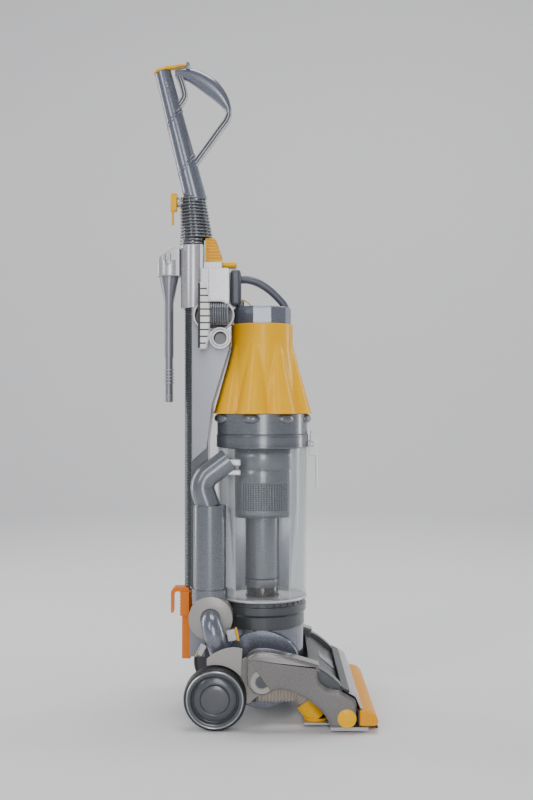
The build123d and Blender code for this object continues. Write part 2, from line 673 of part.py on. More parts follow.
def cone_pack():
    """Pack of small inner cyclones hung from one plate."""
    pack = ring_z(48.5, 12, 604, 608)
    for k in range(LOBES):
        rings = [Pos(34, 0, 606) * Circle(12), Pos(34, 0, 508) * Circle(5)]
        pack += Rot(0, 0, FIRST_LOBE_DEG + 45 * k) * loft(rings, ruled=True)
    for k in range(LOBES):
        rings = [Pos(34, 0, 609) * Circle(10.5), Pos(34, 0, 507) * Circle(3.5)]
        pack -= Rot(0, 0, FIRST_LOBE_DEG + 45 * k) * loft(rings, ruled=True)
    return pack


def cyclone_cap():
    """Ten-sided cap on top of the cyclone."""
    outline = RegularPolygon(CAP_R, 10)
    cap = Pos(0, 0, CONE_TOP_Z + GAP) * extrude(outline, amount=CAP_TOP - CONE_TOP_Z - GAP)
    hollow = along_z(42, CONE_TOP_Z - 1, CAP_TOP - 3.5)
    return cap - hollow


def shroud():
    """Perforated inner shroud of the bin, closed below by a chamfered plate."""
    profile = [(56.2, 445.8), (58.6, 445.8), (58.6, 333), (55, 329), (29, 329), (29, 331.5), (54, 331.5),
               (56.2, 334)]
    tube = turned(profile)
    tube += turned([(56.2, 461), (58.6, 461), (73, 461), (73, 463.5), (56.2, 463.5)])
    return tube + turned([(56.2, 445.5), (58.6, 445.5), (58.6, 461.5), (56.2, 461.5)])


def shroud_fins():
    """Two flat tapered fins under the shroud."""
    fin = side_face([(28.8, 328.7), (56, 328.7), (47, 201), (28.8, 201)])
    right = across(fin, -1.5, 1.5)
    return [right, mirror(right, about=Plane.YZ)]


def core_tube():
    """Fine-dust tube down the middle of the bin."""
    profile = [(28.5, 329), (28.5, 224), (29, 222), (29, 209), (27.2, 208), (27.2, 196), (29.5, 196),
               (29.5, BIN_BOTTOM + 0.3), (24, BIN_BOTTOM + 0.3), (24, 331), (26, 470), (28.5, 470)]
    return turned(profile)


def inlet_duct():
    """Air inlet inside the bin, aimed round its wall."""
    outline = side_face([(-72, 402), (-42, 402), (-34, 412), (-34, 418), (-42, 429), (-72, 429)])
    duct = across(outline, -71, -45)
    duct -= block(-80, -44, -68, -48, 405, 426)
    duct = duct & along_z(71.5, 380, 450)
    return duct - along_z(59, 380, 450)


def carry_handle():
    """Arched carry handle with its rear post, on top of the cyclone."""
    outer = [(-40, 740), (-23, 739), (-5, 734), (14.7, 721), (31, 706), (43, 692), (48.4, 676)]
    inner = [(-40, 727), (-24, 726), (-8, 721), (8, 711), (22, 698), (31, 687), (35.5, 676)]
    arch = across(make_face([curve(outer), line(outer[-1], inner[-1]), curve(inner), line(inner[0], outer[0])]),
                  -11, 11)
    post = block(-54.4, -36, -24, 24, 690, 752)
    post = fillet(post.edges().filter_by(Axis.Y).group_by(Axis.Z)[-1], 7)
    foot = block(-46, -31, -18, 18, CAP_TOP + 0.02, 696)
    front = block(31, 46, -11, 11, CAP_TOP + 0.02, 690)
    arch -= block(-60, 60, -30, 30, 600, CAP_TOP + 0.02)
    return arch + post + foot + front


def bin_trigger():
    """Thin looped trigger that frees the bin from the spine."""
    outline = [(-35.4, 704), (-29.6, 704), (-29, 701.4), (-22, 699), (-14, 692), (-16, 690), (-26, 691), (-30, 697),
               (-35.4, 699)]
    window = [(-28.2, 699.2), (-22.8, 697.2), (-17.4, 692.2), (-24.8, 692.9)]
    return across(side_face(outline), -8, 8) - across(side_face(window), -9, 9)


def bin_latch():
    """White front latch between the collar and the bin."""
    outline = side_face([(82.4, 474.5), (85.5, 474.5), (88, 466), (96.5, 461), (96.5, 376), (91.5, 376),
                         (91.5, 432), (79.3, 432), (79.3, 452), (82.4, 462)])
    return across(outline, -9, 9) - along_y(1.8 + FIT, -20, 20, 84.5, 452)


def latch_pin():
    """Hinge pin of the bin latch."""
    return along_y(1.8, -13.5, 13.5, 84.5, 452)


# ---- stored tools -----------------------------------------------------------------------
def crevice_tool():
    """Long flat crevice tool hanging from its cup."""
    x = -160
    outer = along_z(16.5, 737, 771, x)
    rings = [Pos(x, 0, 737) * Circle(16.5), Pos(x, 0, 692) * SlotOverall(28, 15, rotation=90)]
    outer += loft(rings)
    outer += Pos(x, 0, 600) * extrude(SlotOverall(28, 15, rotation=90), amount=92)
    outer += Pos(x, 0, 523) * extrude(SlotOverall(26, 13, rotation=90), amount=77)
    inner = along_z(14, 736, 775, x)
    inner_rings = [Pos(x, 0, 736.5) * Circle(14), Pos(x, 0, 691) * SlotOverall(23, 10, rotation=90)]
    inner += loft(inner_rings)
    inner += Pos(x, 0, 520) * extrude(SlotOverall(22, 9, rotation=90), amount=172)
    return outer - inner


def stair_tool():
    """Stair tool lying on its side in the dock."""
    head = side_face([(-103, 610), (-86, 610), (-81, 640), (-79, 664), (-81, 690), (-88, 717), (-103, 717)])
    nozzle = across(head, -112, -80.6)
    nozzle -= block(-104, -86, -108.5, -84, 614, 713)
    neck = along_x(16.5, -82, -54, -90, 667) + along_x(18.5, -82, -76, -90, 667)
    peg = block(-94, -66, -84, -52, 655, 679)
    return nozzle + neck + peg - along_x(13.5, -90, -50, -90, 667)


# ---- cleaner head -----------------------------------------------------------------------
def inset_loop(points, distance):
    """Clockwise loop of points moved inwards by a distance."""
    moved = []
    for i, (x, z) in enumerate(points):
        before, after = points[i - 1], points[(i + 1) % len(points)]
        into = math.atan2(z - before[1], x - before[0])
        out_of = math.atan2(after[1] - z, after[0] - x)
        turn = (out_of - into + math.pi) % (2 * math.pi) - math.pi
        inwards = into + turn / 2 - math.pi / 2
        step = distance / max(0.5, math.cos(turn / 2))
        moved.append((x + step * math.cos(inwards), z + step * math.sin(inwards)))
    return moved


def arm_outline(inset=0.0):
    """Side outline of a head arm, with the boss at the pivot."""
    top = [(-24, 119), (-12.5, 127), (-1.5, 128.7), (20.6, 126.5), (49.4, 119.5), (75.7, 112.3), (90.5, 107.5)]
    dip = [(87.5, 97), (90, 85), (99.4, 74), (111, 69.8), (124, 68)]
    front = [(147, 55), (150, 46), (149, 24), (142, 10), (107, 10)]
    under = [(106, 16), (94, 35), (79.7, 47.6), (65.7, 57), (50, 64.5), (30, 69.5), (14, 65)]
    boss = [(4, 60), (-12, 62), (-23, 76)]
    loop = inset_loop(top + dip + front + under + boss, inset)
    ends = [len(top) - 1, len(top) + len(dip) - 1, len(top + dip + front) - 1, len(top + dip + front + under) - 1]
    edges = [curve(loop[:ends[0] + 1]), curve(loop[ends[0]:ends[1] + 1]), curve(loop[ends[2] + 1:ends[3] + 1])]
    straight = loop[ends[1]:ends[2] + 2], loop[ends[3]:] + loop[:1]
    for run in straight:
        edges += [line(start, end) for start, end in zip(run, run[1:])]
    return make_face(edges)


def head_arm(side):
    """Outer casing of a head arm, open on its inner side."""
    face = arm_outline()
    shell = across(face, HEAD_INNER_Y, HEAD_OUTER_Y)
    cavity = across(arm_outline(WALL), HEAD_INNER_Y - 1, HEAD_OUTER_Y - WALL)
    shell -= cavity
    for x, z in SCREW_SPOTS:
        shell += along_y(4, HEAD_INNER_Y + WALL + 0.2, HEAD_OUTER_Y - WALL + 0.5, x, z)
        shell -= along_y(1.52, HEAD_INNER_Y - 1, HEAD_INNER_Y + 14, x, z)
    shell += along_y(5, 143.2, HEAD_OUTER_Y - WALL + 0.5, CLUTCH_X, CLUTCH_Z)
    shell -= along_y(3 + FIT, 142, 146, CLUTCH_X, CLUTCH_Z)
    shell -= along_y(9, 140, 160, BRUSH_X, BRUSH_Z)
    if side > 0:
        return shell
    return mirror(shell, about=Plane.XZ)


def arm_cover(side):
    """Inner cover of a head arm, which turns on the casing's trunnion."""
    plate = across(arm_outline(WALL + 0.2), HEAD_INNER_Y, HEAD_INNER_Y + WALL)
    plate += along_y(18, HEAD_INNER_Y, HEAD_INNER_Y + 5, PIVOT_X, PIVOT_Z)
    plate += along_y(9.5, HEAD_INNER_Y, HEAD_INNER_Y + 7, BRUSH_X, BRUSH_Z)
    plate -= along_y(TRUNNION_R + FIT, 110, 130, PIVOT_X, PIVOT_Z)
    plate -= along_y(6, 110, 130, BRUSH_X, BRUSH_Z) + along_y(3 + FIT, 110, 130, CLUTCH_X, CLUTCH_Z)
    for x, z in SCREW_SPOTS:
        plate -= along_y(1.52, 110, 130, x, z)
    if side > 0:
        return plate
    return mirror(plate, about=Plane.XZ)


def head_shell():
    """Dark hood with the round tunnel that the brush turns in."""
    top = curve([(76.5, 100), (86, 97), (99, 88.5), (113, 77), (125, 67.5)])
    under = curve([(123, 65), (111, 73.5), (97, 85), (86, 92.5), (79.5, 94.5)])
    walls = [line((125, 67.5), (148, 54.5)), line((148, 54.5), (152.5, 42)), line((152.5, 42), (149, 42)),
             line((149, 42), (145.5, 52.5)), line((145.5, 52.5), (123, 65)), under, line((79.5, 94.5), (84, 60)),
             line((84, 60), (114, 45)), line((114, 45), (112, 41)), line((112, 41), (81, 57)),
             line((81, 57), (76.5, 100))]
    hood = across(make_face([top] + walls), -HOOD_Y, HOOD_Y)
    room = TUNNEL_R + 0.1
    hood -= along_y(room, -HOOD_Y - 1, HOOD_Y + 1, BRUSH_X, BRUSH_Z)
    tunnel = ring_y(TUNNEL_R + 2.4, TUNNEL_R, -HOOD_Y, HOOD_Y, BRUSH_X, BRUSH_Z)
    return hood + (tunnel - block(90, 170, -120, 120, -20, SOLE_TOP + 0.3))


def head_deck():
    """Silver deck across the front of the head."""
    outline = [(125.5, 70), (147.6, 58), (151.6, 48.5), (156, 39), (160, 39), (154.5, 51), (150.6, 60.5),
               (138, 67.5), (126.5, 73.5)]
    return across(side_face(outline), -146, 146)


def nose_frame():
    """Blocks at the front of the arms that carry the bumper's ends."""
    return [block(151, 167, side * 132.5 - 13, side * 132.5 + 13, 15, 34) for side in SIDES.values()]


def bumper():
    """Soft full-width bumper, hollow behind its rounded front."""
    outline = [(154, 12), (178, 12), (183, 15), (184, 20), (181, 28), (173, 35), (164, 37.5), (154, 37.5)]
    cavity = [(153, 14.5), (177, 14.5), (181, 17), (181.4, 20), (179, 26.5), (172, 32.8), (164, 35), (153, 35)]
    bar = across(side_face(outline), -HEAD_OUTER_Y, HEAD_OUTER_Y)
    bar -= across(side_face(cavity), 3 - HEAD_OUTER_Y, HEAD_OUTER_Y - 3)
    return bar - along_y(TUNNEL_R + 2.7, -HOOD_Y - 1, HOOD_Y + 1, BRUSH_X, BRUSH_Z)


def soleplate():
    """Base plate of the head with the suction mouth."""
    plate = block(67, 109, -116, 116, 4, 7.5) + block(108.3, 168, -146, 146, 4, SOLE_TOP)
    plate -= block(110.5, 158, -113, 113, 0, 20)
    plate -= block(116, 152, 124, 144, 7, 20)
    plate -= along_z(14, 0, 20, 88, -90)
    for y in (-40, 40):
        plate -= block(82.5, 101.5, y - 7, y + 7, 0, 20)
        for edge in (-10, 7.2):
            plate += block(84, 100, y + edge, y + edge + 2.8, 5, 13)
    return plate - along_y(1.8 + FIT, -60, 60, 92, 8.5)


def hose_socket():
    """Yellow socket that joins the head hose to the soleplate."""
    start, end = (Vector(*point) for point in head_hose_points()[1:])
    axis = (start - end).normalized()
    sleeve = extrude(Plane(origin=end - axis * 8, z_dir=axis) * Circle(18.5), amount=33)
    socket = sleeve + along_z(20, SOLE_SKIN, 12, 88, -90)
    socket &= block(50, 120, -120, -60, SOLE_SKIN, 60)
    socket -= extrude(Plane(origin=end - axis * 1, z_dir=axis) * Circle(15.6), amount=60)
    return socket - extrude(Plane(origin=end - axis * 20, z_dir=axis) * Circle(13), amount=30)


def rollers():
    """Small rollers that carry the head, each with stub pins in the soleplate's ears."""
    return [along_y(8.5, y - 6.5, y + 6.5, 92, 8.5) + along_y(1.8, y - 9.6, y + 9.6, 92, 8.5) for y in (-40, 40)]


def bristle_strip():
    """Strip of bristles along the front edge of the soleplate."""
    return across(side_face([(168.2, 4), (176, 4), (186.5, 0.6), (187, 1.4), (177, 7), (168.2, 8)]), -118, 118)


def brush_bar():
    """Roller of the rotating brush with its spindle."""
    core = along_y(BRUSH_CORE_R, -112, 112, BRUSH_X, BRUSH_Z)
    return core + along_y(5, -126, SECOND_BELT_Y + BELT_RUN + 1, BRUSH_X, BRUSH_Z)


def brush_bristles():
    """Tufts of the brush in two spiral rows."""
    tufts = []
    rows, per_row = 2, 22
    for row in range(rows):
        for k in range(per_row):
            y = -105 + 210 * k / (per_row - 1)
            angle = 180 * row + 300 * abs(k / (per_row - 1) - 0.5)
            tuft = Pos(BRUSH_X, y, BRUSH_Z) * Rot(0, angle, 0) * along_z(1.8, BRUSH_CORE_R, BRUSH_R)
            tufts.append(tuft)
    return tufts


def brush_bush(side):
    """Bearing at one end of the brush."""
    return ring_y(6, 5 + FIT, side * 118, side * 125, BRUSH_X, BRUSH_Z)


def pulley(x, z, radius, shaft_r, start):
    """Belt pulley between two flanges."""
    end = start + BELT_RUN
    profile = [(shaft_r, start), (radius + 1.5, start), (radius + 1.5, start + 1), (radius, start + 1.2),
               (radius, end - 1.2), (radius + 1.5, end - 1), (radius + 1.5, end), (shaft_r, end)]
    return turned_y(profile, x, z)


def clutch():
    """Clutch drum: two pulleys on one short shaft."""
    large = pulley(CLUTCH_X, CLUTCH_Z, CLUTCH_LARGE_R, 0, FIRST_BELT_Y)
    small = pulley(CLUTCH_X, CLUTCH_Z, CLUTCH_SMALL_R, 0, SECOND_BELT_Y)
    return large + small + along_y(3, HEAD_INNER_Y + 0.2, 145.8, CLUTCH_X, CLUTCH_Z)


def belt(start, end, start_r, end_r, y):
    """Flat belt round two pulleys, given their centres and radii."""
    span = math.hypot(end[0] - start[0], end[1] - start[1])
    tilt = math.degrees(math.atan2(end[1] - start[1], end[0] - start[0]))
    lean = math.asin((end_r - start_r) / span)
    loops = []
    for extra in (GAP + 1.6, GAP):
        corners = []
        for sign in (1, -1):
            nx, nz = -math.sin(lean), sign * math.cos(lean)
            corners.append([(nx * (start_r + extra), nz * (start_r + extra)),
                            (span + nx * (end_r + extra), nz * (end_r + extra))])
        between = side_face([corners[0][0], corners[0][1], corners[1][1], corners[1][0]])
        near, far = y + 1.7, y + BELT_RUN - 1.7
        body = across(between, near, far) + along_y(start_r + extra, near, far, 0, 0)
        loops.append(body + along_y(end_r + extra, near, far, span, 0))
    return Pos(start[0], 0, start[1]) * Rot(0, -tilt, 0) * (loops[0] - loops[1])


def drive_belts():
    """Belts from the motor to the clutch and from the clutch to the brush."""
    first = belt((PIVOT_X, PIVOT_Z), (CLUTCH_X, CLUTCH_Z), MOTOR_PULLEY_R, CLUTCH_LARGE_R, FIRST_BELT_Y)
    second = belt((CLUTCH_X, CLUTCH_Z), (BRUSH_X, BRUSH_Z), CLUTCH_SMALL_R, BRUSH_PULLEY_R, SECOND_BELT_Y)
    return [first, second]


def brush_end_cap(side):
    """Yellow plug in the arm's outer face at the end of the brush."""
    profile = [(0, 145.5), (8.6, 145.5), (8.6, 149.2), (15, 149.2), (15, 151.2), (13.5, 152), (0, 152.3)]
    return turned_y([(r, side * y) for r, y in profile], BRUSH_X, BRUSH_Z)


def arm_screws():
    """Screws that close the two arms from inside."""
    return [screw_y(x, z, side * (HEAD_INNER_Y - 0.02), -side, 3, 1.5, 14)
            for side in SIDES.values() for x, z in SCREW_SPOTS]


# ---- all nodes --------------------------------------------------------------------------
def build_nodes():
    """Name of every node, with the separate pieces that it holds."""
    nodes = {}
    for name, side in SIDES.items():
        nodes[f"tyre_{name}"] = [tyre(side)]
        nodes[f"wheel_{name}"] = [wheel_rim(side), hub_cap(side)]
        nodes[f"head_arm_{name}"] = [head_arm(side), arm_cover(side), brush_bush(side), brush_end_cap(side)]
    nodes["axle"] = [axle()] + axle_clips()
    nodes["axle_brackets"] = [axle_bracket(side) for side in SIDES.values()]
    nodes["motor_casing"] = [motor_casing()] + [motor_end_cover(side) for side in SIDES.values()]
    nodes["motor_can"] = [motor_can()] + motor_bushes()
    nodes["motor_rotor"] = [motor_shaft(), fan(), pulley(PIVOT_X, PIVOT_Z, MOTOR_PULLEY_R, 4.0, FIRST_BELT_Y)]
    nodes["motor_cowl"] = [motor_cowl()]
    nodes["filter_bucket"] = [filter_bucket(), bin_seal()]
    nodes["filters"] = [pre_filter(), post_filter()]
    nodes["spine_frame"] = [spine_frame()]
    nodes["spine_panel"] = [spine_panel(), rear_cover(), cable_gland()]
    nodes["stretch_hose"] = [stretch_hose()]
    nodes["air_duct"] = [air_duct()]
    nodes["valve_housing"] = [valve_housing(), hose_elbow(), lower_duct()]
    nodes["changeover_valve"] = [changeover_valve()]
    nodes["internal_hose"] = [internal_hose()]
    nodes["hose_clips"] = hose_clips() + clip_levers()
    nodes["top_housing"] = [top_housing()]
    nodes["tool_dock"] = [tool_dock()]
    nodes["wand_catch"] = [wand_catch()]
    nodes["catch_spring"] = [catch_spring()]
    nodes["release_button"] = [release_button()]
    nodes["power_switch"] = [power_switch()]
    nodes["crevice_holder"] = [crevice_holder()]
    nodes["lower_hook"] = [lower_hook()]
    nodes["upper_hook"] = [upper_hook()]
    nodes["wand_tube"] = [wand_tube(), wand_inner_tube()]
    nodes["wand_cuff"] = [wand_cuff()]
    nodes["handle_grip"] = [handle_grip(), cap_pin()]
    nodes["wand_cap"] = [wand_cap()]
    nodes["clear_bin"] = [clear_bin()]
    nodes["bin_base"] = [bin_base()]
    nodes["bin_collar"] = [bin_collar(), latch_pin()]
    nodes["cyclone_ring"] = [cyclone_ring()]
    nodes["cyclone_cover"] = [cyclone_cover()]
    nodes["cone_pack"] = [cone_pack()]
    nodes["cyclone_cap"] = [cyclone_cap()]
    nodes["shroud"] = [shroud(), inlet_duct(), core_tube()] + shroud_fins()
    nodes["carry_handle"] = [carry_handle()]
    nodes["bin_trigger"] = [bin_trigger()]
    nodes["bin_latch"] = [bin_latch()]
    nodes["crevice_tool"] = [crevice_tool()]
    nodes["stair_tool"] = [stair_tool()]
    nodes["head_shell"] = [head_shell()] + nose_frame()
    nodes["head_deck"] = [head_deck()]
    nodes["bumper"] = [bumper()]
    nodes["soleplate"] = [soleplate(), bristle_strip()]
    nodes["hose_socket"] = [hose_socket()]
    nodes["head_hose"] = [head_hose()]
    nodes["rollers"] = rollers()
    nodes["brush_bar"] = [brush_bar(), pulley(BRUSH_X, BRUSH_Z, BRUSH_PULLEY_R, 5.0, SECOND_BELT_Y)]
    nodes["brush_bristles"] = brush_bristles()
    nodes["drive_belts"] = drive_belts()
    nodes["clutch"] = [clutch()]
    nodes["head_screws"] = arm_screws()
    return nodes


os.makedirs("parts", exist_ok=True)
for node_name, pieces in build_nodes().items():
    solids = [solid for piece in pieces for solid in piece.solids()]
    export_step(Compound(children=solids), f"parts/{node_name}.step")
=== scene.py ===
import json
import math
import random
import bmesh
import bpy
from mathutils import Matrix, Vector


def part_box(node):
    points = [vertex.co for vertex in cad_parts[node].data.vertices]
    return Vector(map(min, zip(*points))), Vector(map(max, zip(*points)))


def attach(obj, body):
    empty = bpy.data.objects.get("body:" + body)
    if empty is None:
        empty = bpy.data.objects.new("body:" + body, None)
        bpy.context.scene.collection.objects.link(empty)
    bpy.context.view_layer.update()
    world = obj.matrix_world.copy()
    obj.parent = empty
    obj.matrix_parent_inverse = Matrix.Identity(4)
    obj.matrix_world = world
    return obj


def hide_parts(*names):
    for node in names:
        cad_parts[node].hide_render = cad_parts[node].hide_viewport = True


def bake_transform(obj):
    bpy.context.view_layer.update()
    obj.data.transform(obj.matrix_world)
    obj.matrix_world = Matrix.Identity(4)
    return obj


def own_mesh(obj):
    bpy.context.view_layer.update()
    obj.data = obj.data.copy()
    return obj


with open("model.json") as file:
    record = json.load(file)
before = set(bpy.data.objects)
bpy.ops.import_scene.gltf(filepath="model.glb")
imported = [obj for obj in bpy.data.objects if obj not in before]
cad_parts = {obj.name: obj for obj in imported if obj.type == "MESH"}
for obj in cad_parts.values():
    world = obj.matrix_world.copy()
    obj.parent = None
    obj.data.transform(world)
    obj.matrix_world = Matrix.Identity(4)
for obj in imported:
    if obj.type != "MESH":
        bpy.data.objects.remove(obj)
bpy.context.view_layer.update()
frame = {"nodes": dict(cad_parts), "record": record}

# Places below are millimetres of the frame: +X front, +Y left, +Z up, bin axis at X = Y = 0.
MM = 0.001
WHEEL_X, WHEEL_Z = -75.0, 50.5
PIVOT_Z = 82.0
HOSE_X = -115.0
BRUSH_X, BRUSH_Z = 134.0, 25.0
VALVE_X, VALVE_Z = -84.0, 170.0
DUCT_X, DUCT_Y = -87.0, -62.0
DOCK_X, DOCK_Z = -80.0, 667.0
RING_X, RING_Z = -69.0, 629.0
CAMERA = (7.2, -1820.0, 527.0)
SIDES = {"right": -1, "left": 1}
LOBES = 8
FIRST_LOBE = math.radians(-104.5)
CONE_BOTTOM, CONE_FLARE, CONE_TOP = 504.0, 622.0, 656.0


# ---- camera, lights and floor ---------------------------------------------------------
def add_camera():
    """Level camera to the right of the machine, at bin height."""
    data = bpy.data.cameras.new("camera")
    data.lens = 47.7
    camera = bpy.data.objects.new("camera", data)
    camera.location = [v * MM for v in CAMERA]
    camera.rotation_euler = (math.radians(90), 0, 0)
    bpy.context.scene.collection.objects.link(camera)
    bpy.context.scene.camera = camera


def add_softbox(name, place, target, size, power, colour=(1, 1, 1)):
    """Rectangular studio light aimed at a point."""
    data = bpy.data.lights.new(name, "AREA")
    data.shape = "RECTANGLE"
    data.size, data.size_y = size
    data.energy = power
    data.color = colour
    light = bpy.data.objects.new(name, data)
    light.location = place
    light.rotation_euler = (Vector(target) - Vector(place)).to_track_quat("-Z", "Y").to_euler()
    bpy.context.scene.collection.objects.link(light)


def add_studio():
    """Plain pale floor and soft lights."""
    world = bpy.data.worlds.new("studio")
    world.use_nodes = True
    background = world.node_tree.nodes["Background"]
    background.inputs["Color"].default_value = (0.82, 0.84, 0.88, 1)
    background.inputs["Strength"].default_value = 0.30
    bpy.context.scene.world = world
    flat, bend, wall_top, sides = 3.2, 1.4, 3.4, 96
    profile = [(1.5, 0), (flat, 0)]
    for a in (math.pi / 20 * k for k in range(1, 11)):
        profile.append((flat + bend * math.sin(a), bend - bend * math.cos(a)))
    profile.append((flat + bend, wall_top))
    points = [(r * math.cos(t), r * math.sin(t), z) for r, z in profile
              for t in (2 * math.pi / sides * k for k in range(sides))]
    faces = rings_to_faces(len(profile), sides, capped=False) + [tuple(range(sides))]
    mesh = bpy.data.meshes.new("floor")
    mesh.from_pydata(points, [], faces)
    work = bmesh.new()
    work.from_mesh(mesh)
    bmesh.ops.recalc_face_normals(work, faces=work.faces)
    bmesh.ops.reverse_faces(work, faces=work.faces)
    for face in work.faces:
        face.smooth = len(face.verts) == 4
    work.to_mesh(mesh)
    work.free()
    floor = bpy.data.objects.new("floor", mesh)
    bpy.context.scene.collection.objects.link(floor)
    material = bpy.data.materials.new("floor")
    material.use_nodes = True
    shader = material.node_tree.nodes["Principled BSDF"]
    shader.inputs["Base Color"].default_value = (0.80, 0.80, 0.81, 1)
    shader.inputs["Roughness"].default_value = 0.8
    mesh.materials.append(material)
    add_softbox("front", (0.10, -2.5, 0.95), (0, 0, 0.55), (0.62, 1.7), 24)
    add_softbox("key", (-1.5, -1.9, 1.7), (0, 0, 0.6), (0.3, 1.6), 16)
    add_softbox("rim_right", (2.0, 0.7, 0.9), (0, 0, 0.5), (0.3, 1.8), 16)
    add_softbox("rim_left", (-2.0, 0.8, 0.9), (0, 0, 0.5), (0.3, 1.8), 18)
    add_softbox("top", (0.1, 0.0, 2.7), (0, 0, 0.4), (1.2, 1.2), 34)
    add_softbox("back", (0.3, 1.6, 2.9), (0, 4.0, 0.9), (1.8, 0.8), 50)


# ---- materials ----------------------------------------------------------------------------
def shader_of(material):
    """Main shader of a material."""
    return material.node_tree.nodes["Principled BSDF"]


def add_node(tree, kind, **values):
    """Shader node with some of its sockets set."""
    node = tree.nodes.new(kind)
    for socket, value in values.items():
        node.inputs[socket].default_value = value
    return node


def noise(tree, scale, detail=2.0):
    """Solid noise in the piece's own space."""
    coords = tree.nodes.new("ShaderNodeTexCoord")
    texture = add_node(tree, "ShaderNodeTexNoise", Scale=scale, Detail=detail)
    tree.links.new(coords.outputs["Object"], texture.inputs["Vector"])
    return texture.outputs["Fac"]


def remap(tree, value, low, high, start=0.3, end=0.7):
    """Noise spread between two values."""
    sockets = {"From Min": start, "From Max": end, "To Min": low, "To Max": high}
    node = add_node(tree, "ShaderNodeMapRange", **sockets)
    tree.links.new(value, node.inputs["Value"])
    return node.outputs["Result"]


def blend_colours(tree, factor, first, second):
    """Colour between two colours or colour outputs."""
    node = tree.nodes.new("ShaderNodeMix")
    node.data_type = "RGBA"
    for socket, colour in ((6, first), (7, second)):
        if isinstance(colour, tuple):
            node.inputs[socket].default_value = colour + (1,)
        else:
            tree.links.new(colour, node.inputs[socket])
    tree.links.new(factor, node.inputs[0])
    return node.outputs[2]


def edge_mask(tree, radius, strength):
    """Share of wear: high on sharp edges, broken up by noise."""
    rounded = add_node(tree, "ShaderNodeBevel", Radius=radius)
    rounded.samples = 3
    flat = tree.nodes.new("ShaderNodeNewGeometry")
    dot = tree.nodes.new("ShaderNodeVectorMath")
    dot.operation = "DOT_PRODUCT"
    tree.links.new(rounded.outputs[0], dot.inputs[0])
    tree.links.new(flat.outputs["Normal"], dot.inputs[1])
    edge = remap(tree, dot.outputs["Value"], strength, 0.0, 0.86, 0.99)
    patchy = tree.nodes.new("ShaderNodeMath")
    patchy.operation = "MULTIPLY"
    tree.links.new(edge, patchy.inputs[0])
    tree.links.new(remap(tree, noise(tree, 90.0, 4), 0.2, 1.0), patchy.inputs[1])
    return patchy.outputs[0]


def plastic(name, colour, rough=0.35, metallic=0.0, coat=0.0, specular=0.5, grain=0.08, mottle=0.02,
            wear=0.10, scale=1600.0):
    """Moulded plastic: mottled colour, fine grain, uneven gloss and lighter worn edges."""
    material = bpy.data.materials.new(name)
    material.use_nodes = True
    tree = material.node_tree
    shader = shader_of(material)
    dark = tuple(c * (1 - mottle) for c in colour)
    light = tuple(min(1.0, c * (1 + mottle)) for c in colour)
    worn = tuple(min(1.0, c * 1.25 + 0.06) for c in colour)
    base = blend_colours(tree, remap(tree, noise(tree, 28.0, 4), 0.0, 1.0), dark, light)
    base = blend_colours(tree, edge_mask(tree, 0.0009, wear), base, worn)
    tree.links.new(base, shader.inputs["Base Color"])
    uneven = remap(tree, noise(tree, 700.0, 3), rough - 0.025, rough + 0.035)
    tree.links.new(uneven, shader.inputs["Roughness"])
    bump = add_node(tree, "ShaderNodeBump", Strength=grain, Distance=0.00007)
    tree.links.new(noise(tree, scale, 3), bump.inputs["Height"])
    tree.links.new(bump.outputs[0], shader.inputs["Normal"])
    shader.inputs["Metallic"].default_value = metallic
    shader.inputs["Specular IOR Level"].default_value = specular
    shader.inputs["Coat Weight"].default_value = coat
    shader.inputs["Coat Roughness"].default_value = 0.12
    return material


def clear_plastic():
    """Clear moulded wall: see-through, with reflections that grow towards its edges."""
    material = bpy.data.materials.new("clear_plastic")
    material.use_nodes = True
    tree = material.node_tree
    shader = shader_of(material)
    shader.inputs["Base Color"].default_value = (0.90, 0.93, 0.95, 1)
    tree.links.new(remap(tree, noise(tree, 200.0, 4), 0.03, 0.09), shader.inputs["Roughness"])
    see_through = add_node(tree, "ShaderNodeBsdfTransparent", Color=(0.985, 0.99, 0.99, 1))
    facing = add_node(tree, "ShaderNodeLayerWeight", Blend=0.35)
    share = remap(tree, facing.outputs["Fresnel"], 0.035, 0.6, 0.08, 0.95)
    mix = tree.nodes.new("ShaderNodeMixShader")
    tree.links.new(share, mix.inputs[0])
    tree.links.new(see_through.outputs[0], mix.inputs[1])
    tree.links.new(shader.outputs[0], mix.inputs[2])
    tree.links.new(mix.outputs[0], tree.nodes["Material Output"].inputs["Surface"])
    return material


